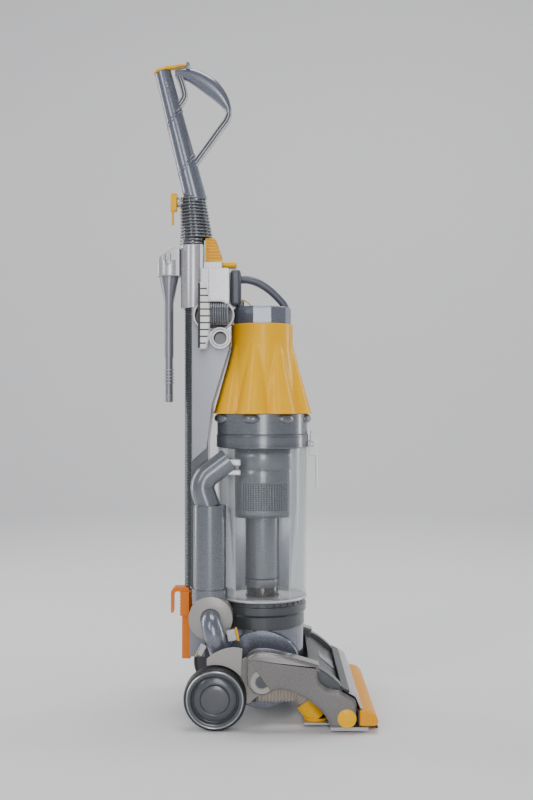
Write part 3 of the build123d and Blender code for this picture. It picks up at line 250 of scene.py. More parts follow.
MATERIALS = {
    "silver": plastic("silver_plastic", (0.46, 0.46, 0.485), 0.28, metallic=0.45, coat=0.4, grain=0.04),
    # Painted shade: a darker copy of the silver plastic; its lower value stands in for shade, not for a
    # different plastic.
    "panel": plastic("shaded_silver_plastic", (0.235, 0.24, 0.275), 0.32, metallic=0.4, coat=0.3, grain=0.04),
    "blue_grey": plastic("blue_grey_plastic", (0.17, 0.185, 0.23), 0.28, metallic=0.55, coat=0.6, grain=0.02),
    "soft_dark": plastic("soft_dark_plastic", (0.078, 0.085, 0.112), 0.42, coat=0.1, grain=0.05),
    "dark_grey": plastic("dark_grey_plastic", (0.062, 0.068, 0.076), 0.30, metallic=0.25, coat=0.4),
    "warm_grey": plastic("warm_grey_plastic", (0.16, 0.15, 0.146), 0.26, metallic=0.3, coat=0.8, grain=0.02),
    "mid_grey": plastic("mid_grey_plastic", (0.16, 0.172, 0.195), 0.28, metallic=0.4, coat=0.5, grain=0.04),
    "fender": plastic("light_warm_plastic", (0.33, 0.315, 0.295), 0.36, metallic=0.15, coat=0.2),
    "yellow": plastic("yellow_plastic", (0.93, 0.47, 0.0), 0.26, coat=0.10, specular=0.15, grain=0.02,
                      mottle=0.01, wear=0.0),
    "amber": plastic("amber_plastic", (0.80, 0.33, 0.002), 0.4, coat=0.03, specular=0.25, grain=0.05,
                     wear=0.06),
    "orange": plastic("orange_plastic", (0.80, 0.19, 0.0), 0.36, coat=0.08, specular=0.3, wear=0.04),
    "white": plastic("white_plastic", (0.74, 0.735, 0.72), 0.32, coat=0.3, wear=0.04),
    "hood": plastic("hood_plastic", (0.020, 0.021, 0.024), 0.34, coat=0.12, grain=0.02),
    "black": plastic("black_plastic", (0.010, 0.010, 0.012), 0.45),
    # Painted highlight: a lighter copy of the dark hose rubber, standing in for the light the cuff's ribs
    # catch.
    "rib": plastic("rib_rubber_painted_highlight", (0.16, 0.17, 0.185), 0.25, metallic=0.4, coat=0.6, grain=0.03),
    "hose": plastic("hose_rubber", (0.060, 0.066, 0.076), 0.30, metallic=0.2, coat=0.4, grain=0.06),
    "cream": plastic("cream_hose", (0.42, 0.37, 0.32), 0.32, coat=0.5, grain=0.06, mottle=0.06),
    "tyre": plastic("tyre_rubber", (0.016, 0.017, 0.020), 0.42, grain=0.2, mottle=0.1, scale=900.0),
    "rubber": plastic("black_rubber", (0.012, 0.012, 0.013), 0.6, grain=0.3),
    "rim": plastic("rim_plastic", (0.085, 0.088, 0.10), 0.30, metallic=0.3, coat=0.4, grain=0.03),
    "bright": plastic("bright_rim", (0.36, 0.37, 0.39), 0.22, metallic=0.5, coat=0.6, grain=0.02),
    "steel": plastic("brushed_steel", (0.50, 0.50, 0.51), 0.30, metallic=1.0, grain=0.2, scale=3000.0),
    "brown": plastic("neck_seal", (0.018, 0.008, 0.006), 0.28, coat=0.6),
    "foam": plastic("filter_foam", (0.12, 0.2, 0.36), 0.85, grain=0.8, mottle=0.2, scale=700.0),
    "bristle": plastic("bristle_nylon", (0.016, 0.016, 0.018), 0.45, grain=0.4, mottle=0.3),
    "clear": clear_plastic(),
}


# ---- mesh helpers -------------------------------------------------------------------------
def piece(name, points, faces, material, body, replaced=(), angle=35.0):
    """New piece of the machine, from points in millimetres, riding on one of its bodies."""
    mesh = bpy.data.meshes.new(name)
    mesh.from_pydata([tuple(v * MM for v in p) for p in points], [], faces)
    return finish_piece(name, mesh, material, body, replaced, angle)


def finish_piece(name, mesh, material, body, replaced=(), angle=35.0):
    """Names, shades and places a finished mesh."""
    work = bmesh.new()
    work.from_mesh(mesh)
    bmesh.ops.recalc_face_normals(work, faces=work.faces)
    work.to_mesh(mesh)
    work.free()
    mesh.polygons.foreach_set("use_smooth", [True] * len(mesh.polygons))
    mesh.set_sharp_from_angle(angle=math.radians(angle))
    mesh.materials.clear()
    mesh.materials.append(MATERIALS[material])
    found = bpy.data.objects.new(name, mesh)
    bpy.context.scene.collection.objects.link(found)
    if body:
        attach(found, body)
    if replaced:
        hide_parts(*replaced)
    return found


def add_bevel(found, width, segments=2, angle=32.0):
    """Rounds a piece's sharp edges."""
    bevel = found.modifiers.new("edges", "BEVEL")
    bevel.width = width * MM
    bevel.segments = segments
    bevel.limit_method = "ANGLE"
    bevel.angle_limit = math.radians(angle)
    bevel.harden_normals = True
    bevel.use_clamp_overlap = False
    return found


def rings_to_faces(rings, around, closed_path=False, capped=True):
    """Faces between rings of points, with flat ends."""
    faces = []
    last = rings if closed_path else rings - 1
    for i in range(last):
        j = (i + 1) % rings
        for k in range(around):
            n = (k + 1) % around
            faces.append((i * around + k, i * around + n, j * around + n, j * around + k))
    if capped and not closed_path:
        faces.append(tuple(range(around)))
        faces.append(tuple((rings - 1) * around + k for k in reversed(range(around))))
    return faces


def lathe(name, profile, material, body, centre=(0.0, 0.0), axis="z", steps=96, replaced=()):
    """Ring turned about an axis from (radius, height) points; centre is X, Y or, for axis y, X, Z."""
    points = []
    for radius, height in profile:
        for k in range(steps):
            turn = 2 * math.pi * k / steps
            a, b = radius * math.cos(turn), radius * math.sin(turn)
            if axis == "z":
                points.append((centre[0] + a, centre[1] + b, height))
            else:
                points.append((centre[0] + a, height, centre[1] + b))
    faces = rings_to_faces(len(profile), steps, closed_path=True)
    return piece(name, points, faces, material, body, replaced)


def smooth_path(points, count):
    """Points evenly spaced by parameter along a Catmull-Rom curve."""
    knots = [Vector(p) for p in points]
    knots = [2 * knots[0] - knots[1]] + knots + [2 * knots[-1] - knots[-2]]
    spans = len(knots) - 3
    found = []
    for i in range(count):
        t = spans * i / (count - 1)
        k = min(int(t), spans - 1)
        t -= k
        a, b, c, d = knots[k:k + 4]
        found.append(0.5 * (2 * b + (c - a) * t + (2 * a - 5 * b + 4 * c - d) * t * t
                            + (3 * b - a - 3 * c + d) * t * t * t))
    return found


def even_path(points, spacing):
    """Smooth path through points, resampled at an even spacing."""
    dense = smooth_path(points, 400)
    lengths = [0.0]
    for a, b in zip(dense, dense[1:]):
        lengths.append(lengths[-1] + (b - a).length)
    count = max(2, round(lengths[-1] / spacing) + 1)
    found, k = [], 0
    for i in range(count):
        target = lengths[-1] * i / (count - 1)
        while k < len(dense) - 2 and lengths[k + 1] < target:
            k += 1
        share = (target - lengths[k]) / max(1e-9, lengths[k + 1] - lengths[k])
        found.append(dense[k].lerp(dense[k + 1], share))
    return found


def tube(name, path, radius_at, material, body, steps=48, wall=1.5, replaced=()):
    """Hollow tube along a path; radius_at gives the outer radius at each station's index."""
    across = Vector((0, 1, 0))
    outer, inner = [], []
    for i, centre in enumerate(path):
        ahead = (path[min(i + 1, len(path) - 1)] - path[max(i - 1, 0)]).normalized()
        across = (across - across.dot(ahead) * ahead).normalized()
        other = ahead.cross(across)
        for k in range(steps):
            turn = 2 * math.pi * k / steps
            spoke = math.cos(turn) * across + math.sin(turn) * other
            outer.append(centre + spoke * radius_at(i))
            inner.append(centre + spoke * (radius_at(i) - wall))
    rows = len(path)
    inner_rows = [inner[i * steps:(i + 1) * steps] for i in reversed(range(rows))]
    points = outer + [p for row in inner_rows for p in row]
    faces = rings_to_faces(2 * rows, steps, closed_path=True)
    return piece(name, points, faces, material, body, replaced, 50)


def ribbed(low, high):
    """Radius along a corrugated tube: one rib every four stations."""
    shape = [0.0, 0.85, 1.0, 0.85]
    return lambda i: low + (high - low) * shape[i % len(shape)]


def solids_of(node):
    """Separate solids of a CAD node as (points, faces), largest box first."""
    work = bmesh.new()
    work.from_mesh(frame["nodes"][node].data)
    bmesh.ops.remove_doubles(work, verts=work.verts, dist=1e-6)
    bmesh.ops.dissolve_limit(work, angle_limit=math.radians(0.7), verts=work.verts, edges=work.edges)
    work.verts.index_update()
    seen, found = set(), []
    for start in work.verts:
        if start.index in seen:
            continue
        group, stack = [], [start]
        seen.add(start.index)
        while stack:
            vert = stack.pop()
            group.append(vert)
            for edge in vert.link_edges:
                other = edge.other_vert(vert)
                if other.index not in seen:
                    seen.add(other.index)
                    stack.append(other)
        number = {vert.index: i for i, vert in enumerate(group)}
        faces = {face.index: face for vert in group for face in vert.link_faces}
        points = [tuple(v / MM for v in vert.co) for vert in group]
        spans = [max(p[i] for p in points) - min(p[i] for p in points) for i in range(3)]
        found.append((spans[0] * spans[1] * spans[2], points,
                      [tuple(number[v.index] for v in faces[i].verts) for i in sorted(faces)]))
    work.free()
    found.sort(key=lambda solid: -solid[0])
    return [(points, faces) for _, points, faces in found]


BODY_OF = {node: body for body, nodes in frame["record"]["behaviour"]["bodies"].items() for node in nodes}


def rounded(node, material, width=0.8, segments=2):
    """Copies of a CAD node's solids with rounded edges, one material each, or one for all."""
    solids = solids_of(node)
    names = material if isinstance(material, (list, tuple)) else [material] * len(solids)
    found = []
    for k, ((points, faces), name) in enumerate(zip(solids, names)):
        label = node if len(solids) == 1 else f"{node}_{k + 1}"
        made = piece(f"{label}_shell", points, faces, name, BODY_OF[node], [node])
        found.append(add_bevel(made, width, segments))
    return found


def keep(node, material):
    """CAD node that stays as it is, with a better material."""
    found = frame["nodes"][node]
    found.data.materials.clear()
    found.data.materials.append(MATERIALS[material])
    for polygon in found.data.polygons:
        polygon.material_index = 0


# ---- more shapes --------------------------------------------------------------------------
def band(name, stations, material, body, steps=28, power=2.5, replaced=(), count=60, shift=0.0):
    """Soft-cornered bar in the XZ plane through (x, z, half thickness, half width) stations."""
    rows = smooth_path([(x, 0, z) for x, z, _, _ in stations], count)
    sizes = smooth_path([(h, 0, w) for _, _, h, w in stations], count)
    points = []
    for i, centre in enumerate(rows):
        ahead = (rows[min(i + 1, count - 1)] - rows[max(i - 1, 0)]).normalized()
        out = Vector((-ahead.z, 0, ahead.x))
        for k in range(steps):
            turn = 2 * math.pi * k / steps
            a, b = math.cos(turn), math.sin(turn)
            u = math.copysign(abs(a) ** (2 / power), a) * sizes[i].x + shift
            v = math.copysign(abs(b) ** (2 / power), b) * sizes[i].z
            points.append(centre + out * u + Vector((0, v, 0)))
    return piece(name, points, rings_to_faces(count, steps), material, body, replaced, 60)


def slab(name, loop, near, far, radius, material, body, replaced=(), plane="xz", steps=4):
    """Plate with a given outline, rounded at its near face; plane xz spans Y, and xy spans Z."""
    rounds = [(radius * (1 - math.sin(a)), radius * (1 - math.cos(a)))
              for a in (math.pi / 2 * i / steps for i in range(steps + 1))]
    toward = 1 if far > near else -1
    layers = [(inset, near + toward * depth) for inset, depth in rounds] + [(0.0, far)]
    points = []
    for inset, level in layers:
        for a, b in shrink(loop, inset):
            points.append((a, level, b) if plane == "xz" else (a, b, level))
    return piece(name, points, rings_to_faces(len(layers), len(loop)), material, body, replaced, 40)


def shrink(loop, distance):
    """Outline moved inwards by a distance."""
    area = sum(a[0] * b[1] - b[0] * a[1] for a, b in zip(loop, loop[1:] + loop[:1]))
    turn = 1 if area > 0 else -1
    moved = []
    for i, point in enumerate(loop):
        here = Vector(point)
        back = (here - Vector(loop[i - 1])).normalized()
        on = (Vector(loop[(i + 1) % len(loop)]) - here).normalized()
        normals = [Vector((-d.y, d.x)) * turn for d in (back, on)]
        middle = (normals[0] + normals[1]).normalized()
        step = distance / max(0.5, middle.dot(normals[0]))
        moved.append(tuple(here + middle * step))
    return moved


def side_outline(points, faces, level):
    """Longest outline of the flat face of a solid that lies at one Y."""
    sides = {}
    for face in faces:
        if all(abs(points[v][1] - level) < 0.02 for v in face):
            for a, b in zip(face, face[1:] + face[:1]):
                if (b, a) in sides:
                    del sides[(b, a)]
                else:
                    sides[(a, b)] = True
    following = {a: b for a, b in sides}
    loops = []
    while following:
        start, here = next(iter(following.items()))
        loop = [start]
        del following[start]
        while here != start and here in following:
            loop.append(here)
            here = following.pop(here)
        loops.append([(points[v][0], points[v][2]) for v in loop])
    return max(loops, key=len)


def clip(loop, through, normal):
    """Part of an outline on the side of a line that its normal points to."""
    kept = []
    for a, b in zip(loop, loop[1:] + loop[:1]):
        da = (a[0] - through[0]) * normal[0] + (a[1] - through[1]) * normal[1]
        db = (b[0] - through[0]) * normal[0] + (b[1] - through[1]) * normal[1]
        if da >= 0:
            kept.append(a)
        if da * db < 0:
            t = da / (da - db)
            kept.append((a[0] + (b[0] - a[0]) * t, a[1] + (b[1] - a[1]) * t))
    return kept


def circle(radius, centre=(0.0, 0.0), steps=48):
    """Round outline."""
    return [(centre[0] + radius * math.cos(2 * math.pi * k / steps),
             centre[1] + radius * math.sin(2 * math.pi * k / steps)) for k in range(steps)]


def stadium(length, height, centre, steps=24):
    """Long round outline, along X."""
    r, half = height / 2, (length - height) / 2
    loop = []
    for side, turn in ((1, -math.pi / 2), (-1, math.pi / 2)):
        loop += [(centre[0] + side * half + r * math.cos(turn + math.pi * k / steps),
                  centre[1] + r * math.sin(turn + math.pi * k / steps)) for k in range(steps + 1)]
    return loop


def soft_box(name, low, high, radius, material, body, replaced=(), segments=4):
    """Box with rounded edges."""
    points = [(x, y, z) for x in (low[0], high[0]) for y in (low[1], high[1]) for z in (low[2], high[2])]
    faces = [(0, 1, 3, 2), (4, 6, 7, 5), (0, 4, 5, 1), (2, 3, 7, 6), (0, 2, 6, 4), (1, 5, 7, 3)]
    made = piece(name, points, faces, material, body, replaced)
    return add_bevel(made, radius, segments)


def wire(name, path, radius, material, body, steps=10, closed=False, replaced=()):
    """Solid round wire along a path of points."""
    rows = [Vector(p) for p in path]
    count = len(rows)
    across = Vector((0.13, 1, 0.07))
    points = []
    for i, centre in enumerate(rows):
        after = rows[(i + 1) % count] if closed else rows[min(i + 1, count - 1)]
        before = rows[i - 1] if closed or i else rows[0]
        ahead = (after - before).normalized()
        across = (across - across.dot(ahead) * ahead).normalized()
        other = ahead.cross(across)
        for k in range(steps):
            turn = 2 * math.pi * k / steps
            points.append(centre + (math.cos(turn) * across + math.sin(turn) * other) * radius)
    faces = rings_to_faces(count, steps, closed_path=closed)
    return piece(name, points, faces, material, body, replaced, 60)


# ---- wheels -------------------------------------------------------------------------------
def add_wheels():
    """Rear wheels: grooved tyre, bright rim, deep dish and hub cap."""
    for name, side in SIDES.items():
        body, slot = f"wheel_{name}", "mid_grey_plastic"
        centre = (WHEEL_X, WHEEL_Z)

        def turned(label, profile, material, own_slot, replaced=()):
            flipped = [(r, side * y) for r, y in profile]
            lathe(f"{label}_{name}", flipped, material, body, centre, "y", 128, replaced)

        tread = [(44.4, 112), (47.6, 112), (49.5, 112.8), (50.4, 115), (50.4, 119), (49.9, 119.4),
                 (49.9, 120.2), (50.4, 120.6), (50.4, 126.4), (49.9, 126.8), (49.9, 127.6), (50.4, 128),
                 (50.3, 132.5), (49.7, 135), (48.6, 137), (47, 138.2), (44.4, 138.6)]
        turned("tyre_tread", tread, "tyre", "tyre_rubber", [f"tyre_{name}"])
        ring = [(43.2, 136), (45.6, 137.6), (45.9, 138.7), (45.4, 139.6), (44.4, 140), (43.5, 139.6),
                (43.0, 138.6)]
        turned("rim_ring", ring, "bright", slot)
        dish = [(6, 112.2), (44.2, 112.2), (44.3, 137.6), (43.4, 139.3), (42, 139.4), (39.4, 138.7),
                (37.9, 136.9), (37.2, 134.4), (36.6, 133.4), (35.9, 133.2), (35.2, 133.8), (33.6, 134.9),
                (30, 136), (26, 136.6), (24.2, 136.7), (23.5, 136.3), (23.3, 135), (23.3, 131), (6, 131)]
        turned("rim_dish", dish, "dark_grey", slot, [f"wheel_{name}"])
        hub = [(0.01, 135.6), (22.6, 135.6), (22.9, 136.4), (22.4, 137.6), (21, 138.2), (14, 138.7),
               (0.01, 138.9)]
        turned("hub_cap", hub, "rim", slot)


# ---- hoses --------------------------------------------------------------------------------
def add_hoses():
    """Stretch hose up the back, bending head hose, and the hose on the valve with its clips."""
    low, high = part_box("stretch_hose")
    path = even_path([(HOSE_X, 0, z) for z in (low.z / MM, 400, 600, high.z / MM)], 1.1)
    tube("stretch_hose_ribs", path, ribbed(16.9, 18.5), "hose", "chassis",
         steps=40, wall=1.2, replaced=["stretch_hose"])
    route = [(-7, -87.5, 49), (14, -87.5, 49.2), (40, -87.5, 49.5), (58, -87.7, 48.5), (69, -88.3, 41),
             (78, -89.3, 28), (86, -90, 17)]
    path = even_path(route, 1.35)
    hose = tube("head_hose_ribs", path, ribbed(13.4, 15.4), "cream", None,
                steps=40, wall=1.0, replaced=["head_hose"])
    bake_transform(hose)
    rounded("internal_hose", "blue_grey", 0.6)
    rounded("hose_clips", ["silver", "silver", "yellow", "yellow"], 0.5)


# ---- wand ---------------------------------------------------------------------------------
WAND_LOW = Vector((-113.4, 0, 867.0))
WAND_HIGH = Vector((-170.5, 0, 1089.0))
WAND_LOW_R, WAND_HIGH_R = 19.3, 14.0


def wand_point(share):
    """Point on the slanted tube's centre line."""
    return WAND_LOW.lerp(WAND_HIGH, share)


def wand_radius(share):
    """Outer radius of the slanted tube, which tapers upwards."""
    return WAND_LOW_R + (WAND_HIGH_R - WAND_LOW_R) * share


def add_wand_ring(name, share, lean, radius):
    """Ridge that runs round the slanted tube, leaning along it."""
    axis = (WAND_HIGH - WAND_LOW).normalized()
    forward = Vector((0, 1, 0)).cross(axis)
    size = wand_radius(share) + 0.1
    path = []
    for k in range(48):
        turn = 2 * math.pi * k / 48
        spoke = math.cos(turn) * forward + math.sin(turn) * Vector((0, 1, 0))
        path.append(wand_point(share) + spoke * size + axis * lean * math.cos(turn))
    wire(name, path, radius, "blue_grey", "wand", closed=True)


def add_wand():
    """Slanted upper tube, straight inner tube, ribbed cuff and the post of the cord hook."""
    count = 140
    path = [wand_point(i / (count - 1)) for i in range(count)]
    seams = {round(0.865 * count): 0.5, round(0.885 * count): 0.35}
    tube("wand_upper_tube", path, lambda i: wand_radius(i / (count - 1)) - seams.get(i, 0.0), "blue_grey",
         "wand", steps=72, wall=2.1, replaced=["wand_tube"])
    path = [Vector((HOSE_X, 0, z)) for z in (330, 331.5, 340, 500, 700, 850, 862)]
    tube("wand_lower_tube", path, lambda i: 15.4 if i else 14.6, "mid_grey", "wand",
         steps=56, wall=1.4)
    foot, head = Vector((-112.6, 0, 803)), Vector((-119, 0, 875))
    path = [foot.lerp(head, i / 40) for i in range(41)]
    # Painted light: the cuff sleeve takes the dark hose rubber and its ribs the lighter rib rubber, standing
    # in for shade in the gaps and highlights on the ribs.
    tube("wand_cuff_sleeve", path, lambda i: 25.2 - 6.3 * i / 40, "hose", "wand", steps=56,
         wall=2.6, replaced=["wand_cuff"])
    for k in range(13):
        share = (k + 0.35) / 13
        centre, size = foot.lerp(head, share), 27.3 - 6.3 * share
        ring = [centre + Vector((size * math.cos(math.pi / 28 * j), size * math.sin(math.pi / 28 * j), 0))
                for j in range(56)]
        wire(f"wand_cuff_rib_{k + 1}", ring, 1.15, "rib", "wand", steps=8, closed=True)
    neck = [(15.6, 791.4), (18.4, 791.4), (18.6, 792), (18.6, 806), (15.6, 806)]
    lathe("wand_cuff_neck", neck, "blue_grey", "wand", (-120, 0))
    # Painted highlight: the skirts take the lighter rib rubber too.
    for k, level in enumerate((792.4, 798.2)):
        ring = clip(circle(28.2, (-113.2, 0), 72), (-101.9, 0), (-1, 0))
        slab(f"wand_cuff_skirt_{k + 1}", ring, level, level + 1.9, 0.5, "rib", "wand",
             plane="xy")
    post = [Vector((x, 0, 866)) for x in (-146, -145.2, -140, -137, -133)]
    tube("hook_post", post, lambda i: 8.5 if i else 7.7, "silver", "wand", steps=40,
         wall=4.2)
    for k, (share, lean) in enumerate(((0.285, 13), (0.262, 13), (0.655, 12), (0.632, 12))):
        add_wand_ring(f"wand_ring_{k + 1}", share, lean, 1.1)


def add_handle():
    """Looped handle with ridged strap and brace, and the hinged cap of the wand."""
    grip = [(-149, 1085, 7, 8.5), (-136, 1086.5, 9, 10), (-121, 1083.5, 12, 11), (-104.5, 1075, 14, 11.5),
            (-86, 1062, 14.5, 11.5), (-69.5, 1044.5, 11, 11), (-59.5, 1028, 6.4, 9.5),
            (-57.3, 1016.5, 4.4, 8.5)]
    strap = [(-57.3, 1017, 4.2, 7.6), (-61.8, 1005.5, 4.6, 7.6), (-73.8, 989.3, 5.4, 7.6),
             (-96, 958.5, 5.4, 7.6), (-120, 926, 5.4, 7.6)]
    brace = [(-145, 1086, 4.4, 6), (-139, 1072, 4.4, 6), (-134.6, 1056, 4.6, 6), (-134, 1046, 4.8, 6),
             (-141, 1034, 4.6, 6), (-157, 1014, 4.4, 6)]
    band("handle_grip_bar", grip, "blue_grey", "wand", replaced=["handle_grip"])
    for label, stations in (("handle_strap", strap), ("handle_brace", brace)):
        band(f"{label}_core", [(x, z, h * 0.72, w) for x, z, h, w in stations], "dark_grey", "wand",
             power=4)
        for k, shift in enumerate((-4.0, 0.6, 4.4)):
            ridge = [(x, z, 1.5, w + 1.5) for x, z, h, w in stations]
            band(f"{label}_ridge_{k + 1}", ridge, "silver", "wand", power=3, shift=shift)
    pin = [Vector((-127, y, 1100.6)) for y in (-12, -11.6, 11.6, 12)]
    tube("cap_pin", pin, lambda i: 1.2 if i in (0, 3) else 1.5, "steel", "wand", steps=16, wall=1.1)
    for name, side in SIDES.items():
        lug = [(-130.5, 1092), (-123.5, 1092), (-123.8, 1101), (-125, 1103.4), (-127, 1104.2), (-129, 1103.4),
               (-130.2, 1101)]
        slab(f"cap_lug_{name}", lug, side * 11.8, side * 8.6, 0.8, "blue_grey", "wand")
    rounded("wand_cap", "yellow", 0.9)
    rounded("upper_hook", "yellow", 1.2)


# ---- cyclone and bin ------------------------------------------------------------------------
def cover_radius(turn, level):
    """Outer radius of the lobed cover at an angle and height."""
    drop = max(0.0, (CONE_FLARE - level) / (CONE_FLARE - CONE_BOTTOM))
    base = 52.6 + (68.5 - 52.6) * drop
    if drop <= 0:
        return base
    lobe = 6.0 + 22.0 * drop ** 0.9
    reach = 52.6 + (86.0 - 52.6) * drop - lobe
    pitch = 2 * math.pi / LOBES
    off = (turn - FIRST_LOBE + pitch / 2) % pitch - pitch / 2
    inside = lobe ** 2 - (reach * math.sin(off)) ** 2
    outer = reach * math.cos(off) + math.sqrt(inside) if inside > 0 else 0.0
    sharp = 1.6
    return sharp * math.log(math.exp((base - 60) / sharp) + math.exp((outer - 60) / sharp)) + 60


def add_cover():
    """Yellow cover: a smooth shell with eight flutes and a rolled hem."""
    levels = [CONE_BOTTOM, CONE_BOTTOM + 0.8, CONE_BOTTOM + 2.6, CONE_BOTTOM + 3.4]
    levels += [CONE_BOTTOM + 5 + (CONE_FLARE - CONE_BOTTOM - 4) * k / 44 for k in range(45)]
    levels += [628, 634, 640, 648, 653, 654.6, 655.6, CONE_TOP]
    steps = LOBES * 32
    rows = []
    for level in levels:
        hem = 0.0 if level > CONE_BOTTOM + 3 else 0.7
        edge = {CONE_BOTTOM: -0.6, CONE_TOP: -1.2, 655.6: -0.5}.get(level, 0.0)
        rows.append([(cover_radius(2 * math.pi * k / steps, level) + hem + edge, level)
                     for k in range(steps)])
    inner = [[(r - 2.4, level) for r, level in row] for row in reversed(rows)]
    points = []
    for row in rows + inner:
        for k, (radius, level) in enumerate(row):
            turn = 2 * math.pi * k / steps
            points.append((radius * math.cos(turn), radius * math.sin(turn), level))
    faces = rings_to_faces(2 * len(levels), steps, closed_path=True)
    piece("cyclone_cover_shell", points, faces, "yellow", "bin", ["cyclone_cover"], 50)


def bin_ring(name, profile, material="mid_grey", steps=96, replaced=()):
    """Turned piece about the bin's axis."""
    return lathe(name, profile, material, "bin", steps=steps, replaced=replaced)


def add_shroud():
    """Shroud wall with rows of slots cut through it, and what hangs under it."""
    columns, radius = 240, 58.6
    levels = [332.2, 334.5, 340]
    first_slot = len(levels)
    for k in range(15):
        levels += [342 + 3.05 * k, 343.7 + 3.05 * k]
    last_slot = len(levels)
    levels += [389.5, 400, 409.4, 410, 410.8, 430, 445.8]
    points, faces = [], []
    for level in levels:
        r = radius - (0.5 if level == 410 else 0.0) - (1.6 if level < 333 else 0.0)
        for k in range(columns):
            turn = 2 * math.pi * k / columns
            points.append((r * math.cos(turn), r * math.sin(turn), level))
    for i in range(len(levels) - 1):
        for k in range(columns):
            quarter = (k + 27) % 60
            slotted = first_slot <= i < last_slot and (i - first_slot) % 2 == 0
            if slotted and 2 < quarter < 57 and quarter % 3 != 0:
                continue
            n = (k + 1) % columns
            faces.append((i * columns + k, i * columns + n, (i + 1) * columns + n, (i + 1) * columns + k))
    wall = piece("shroud_wall", points, faces, "mid_grey", "bin", ["shroud"], 50)
    thick = wall.modifiers.new("thickness", "SOLIDIFY")
    thick.thickness = 1.6 * MM
    thick.offset = -1
    # Painted shade: a black ring inside the shroud makes its slots look dark, standing in for the shade
    # behind them.
    bin_ring("shroud_shade_liner", [(50, 336), (51.5, 336), (51.5, 444), (50, 444)], "black")
    bin_ring("shroud_floor", [(29.2, 329), (54.6, 329), (56.4, 330), (58, 332.4), (56, 334.6), (29.2, 334.6)])
    bin_ring("shroud_flange", [(54, 445.6), (58.5, 445.6), (72.8, 446.4), (73, 463), (54, 463)])
    bin_ring("core_tube", [(24.4, 224), (28.4, 224), (28.6, 225), (28.6, 330), (24.4, 330)])
    bin_ring("core_line", [(26, 222.4), (28.9, 222.4), (28.9, 224.2), (26, 224.2)], "black")
    bin_ring("core_collar", [(24.2, 208.6), (28.6, 208.6), (29.1, 209.4), (29.1, 221.8), (28.6, 222.4),
                             (24.2, 222.4)])
    bin_ring("core_neck", [(24, 193.7), (29.4, 193.7), (29.4, 195.4), (27.3, 196.4), (27.1, 199),
                           (27.1, 207.6), (26.6, 208.8), (24, 208.8)], "brown")
    for name, side in (("front", 1), ("rear", -1)):
        fin = [(side * x, z) for x, z in ((28.4, 329.2), (56, 329.2), (52, 265), (47.4, 203), (46, 201),
                                          (28.4, 201))]
        slab(f"shroud_fin_{name}", fin, -1.6, 1.6, 0.7, "mid_grey", "bin")
    for name, low, high in (("upper", 417.5, 429), ("lower", 402, 411.5)):
        soft_box(f"inlet_{name}", (-60, -66, low), (-35, -46, high), 2.2, "silver", "bin")
    # Painted shade: a dark box fills the inlet's mouth, standing in for the shade inside the opening.
    soft_box("inlet_throat_shade", (-59, -64, 410), (-38, -48, 419), 0.6, "dark_grey", "bin")


def add_bin():
    """Clear bin with its base, collar and latch, and the cyclones' ring and cap."""
    fine = 144
    wall = [(72.2, 193.7), (74.6, 193.7), (76.5, 444.8), (76.2, 445.8), (74.4, 445.8)]
    bin_ring("clear_bin_wall", wall, "clear", fine, ["clear_bin"])
    dish = [(28, 190.8), (60, 190.8), (61, 192.6), (75.0, 190.8), (76.0, 191.3), (76.3, 192.3), (75.8, 193.3),
            (74, 193.5), (66.5, 193.5), (65, 194.4), (64.2, 195.5), (60.4, 195.6), (59, 194.6), (58, 193.4),
            (28, 193.4)]
    bin_ring("bin_base_dish", dish, "silver", fine, ["bin_base"])
    seal = [(73.6, 193.3), (76.6, 193.3), (76.9, 194), (76.6, 195), (73.4, 195)]
    bin_ring("bin_base_seal", seal, "white", fine)
    rounded("bin_collar", ["mid_grey", "steel"], 0.5)
    for k, level in enumerate((449.4, 452.2, 464.4, 466.8)):
        top = level + 0.8
        line = [(77.8, level), (78.75, level), (78.85, level + 0.4), (78.75, top), (77.8, top)]
        bin_ring(f"collar_line_{k + 1}", line, "dark_grey", steps=fine)
    rounded("cyclone_ring", "mid_grey", 0.6)
    add_cap(49.2, 656.4, 686)
    rounded("bin_latch", "white", 1.0)
    keep("cone_pack", "mid_grey")


def add_cap(reach, low, high):
    """Ten-sided cap on the cyclones, with a soft top edge."""
    sides = 10
    rows = [(reach, low), (reach, high - 5), (reach - 0.6, high - 2.4), (reach - 3, high - 0.6),
            (reach - 8, high)]
    points = [(r * math.cos(math.radians(36 * k)), r * math.sin(math.radians(36 * k)), z)
              for r, z in rows for k in range(sides)]
    cap = piece("cyclone_cap_shell", points, rings_to_faces(len(rows), sides), "blue_grey", "bin",
                ["cyclone_cap"], 20)
    add_bevel(cap, 0.5)


def add_carry_handle():
    """Arched carry handle with its post, and the looped trigger under it."""
    arch = [(-42, 733.5, 6.6, 10.5), (-24, 732.8, 6.6, 10.5), (-7, 727.6, 6.6, 10.5), (11, 716.4, 6.4, 10.5),
            (26.3, 702.3, 6.2, 10.5), (36.8, 690, 6.4, 10.5), (41.5, 677, 7, 10.5)]
    band("carry_arch", arch, "soft_dark", "bin", replaced=["carry_handle"])
    soft_box("carry_post", (-54.2, -24, 687), (-36.2, 24, 749), 6.5, "soft_dark", "bin")
    soft_box("carry_foot", (-47, -18, 686.2), (-31, 18, 695.6), 1.8, "soft_dark", "bin")
    leaf = smooth_path([(-36.6, 0, 681), (-37.4, 0, 690), (-36.2, 0, 698.6), (-29, 0, 697.6), (-21, 0, 692),
                        (-15, 0, 683), (-16.5, 0, 681), (-26, 0, 681), (-36.6, 0, 681)], 49)[:-1]
    loop = [(p.x, p.z) for p in leaf]
    points = [(x, y, z) for inset, y in ((0, -8), (0, 8), (1.7, 8), (1.7, -8))
              for x, z in shrink(loop, inset)]
    piece("bin_trigger_loop", points, rings_to_faces(4, len(loop), closed_path=True), "yellow", "bin_trigger",
          ["bin_trigger"], 50)


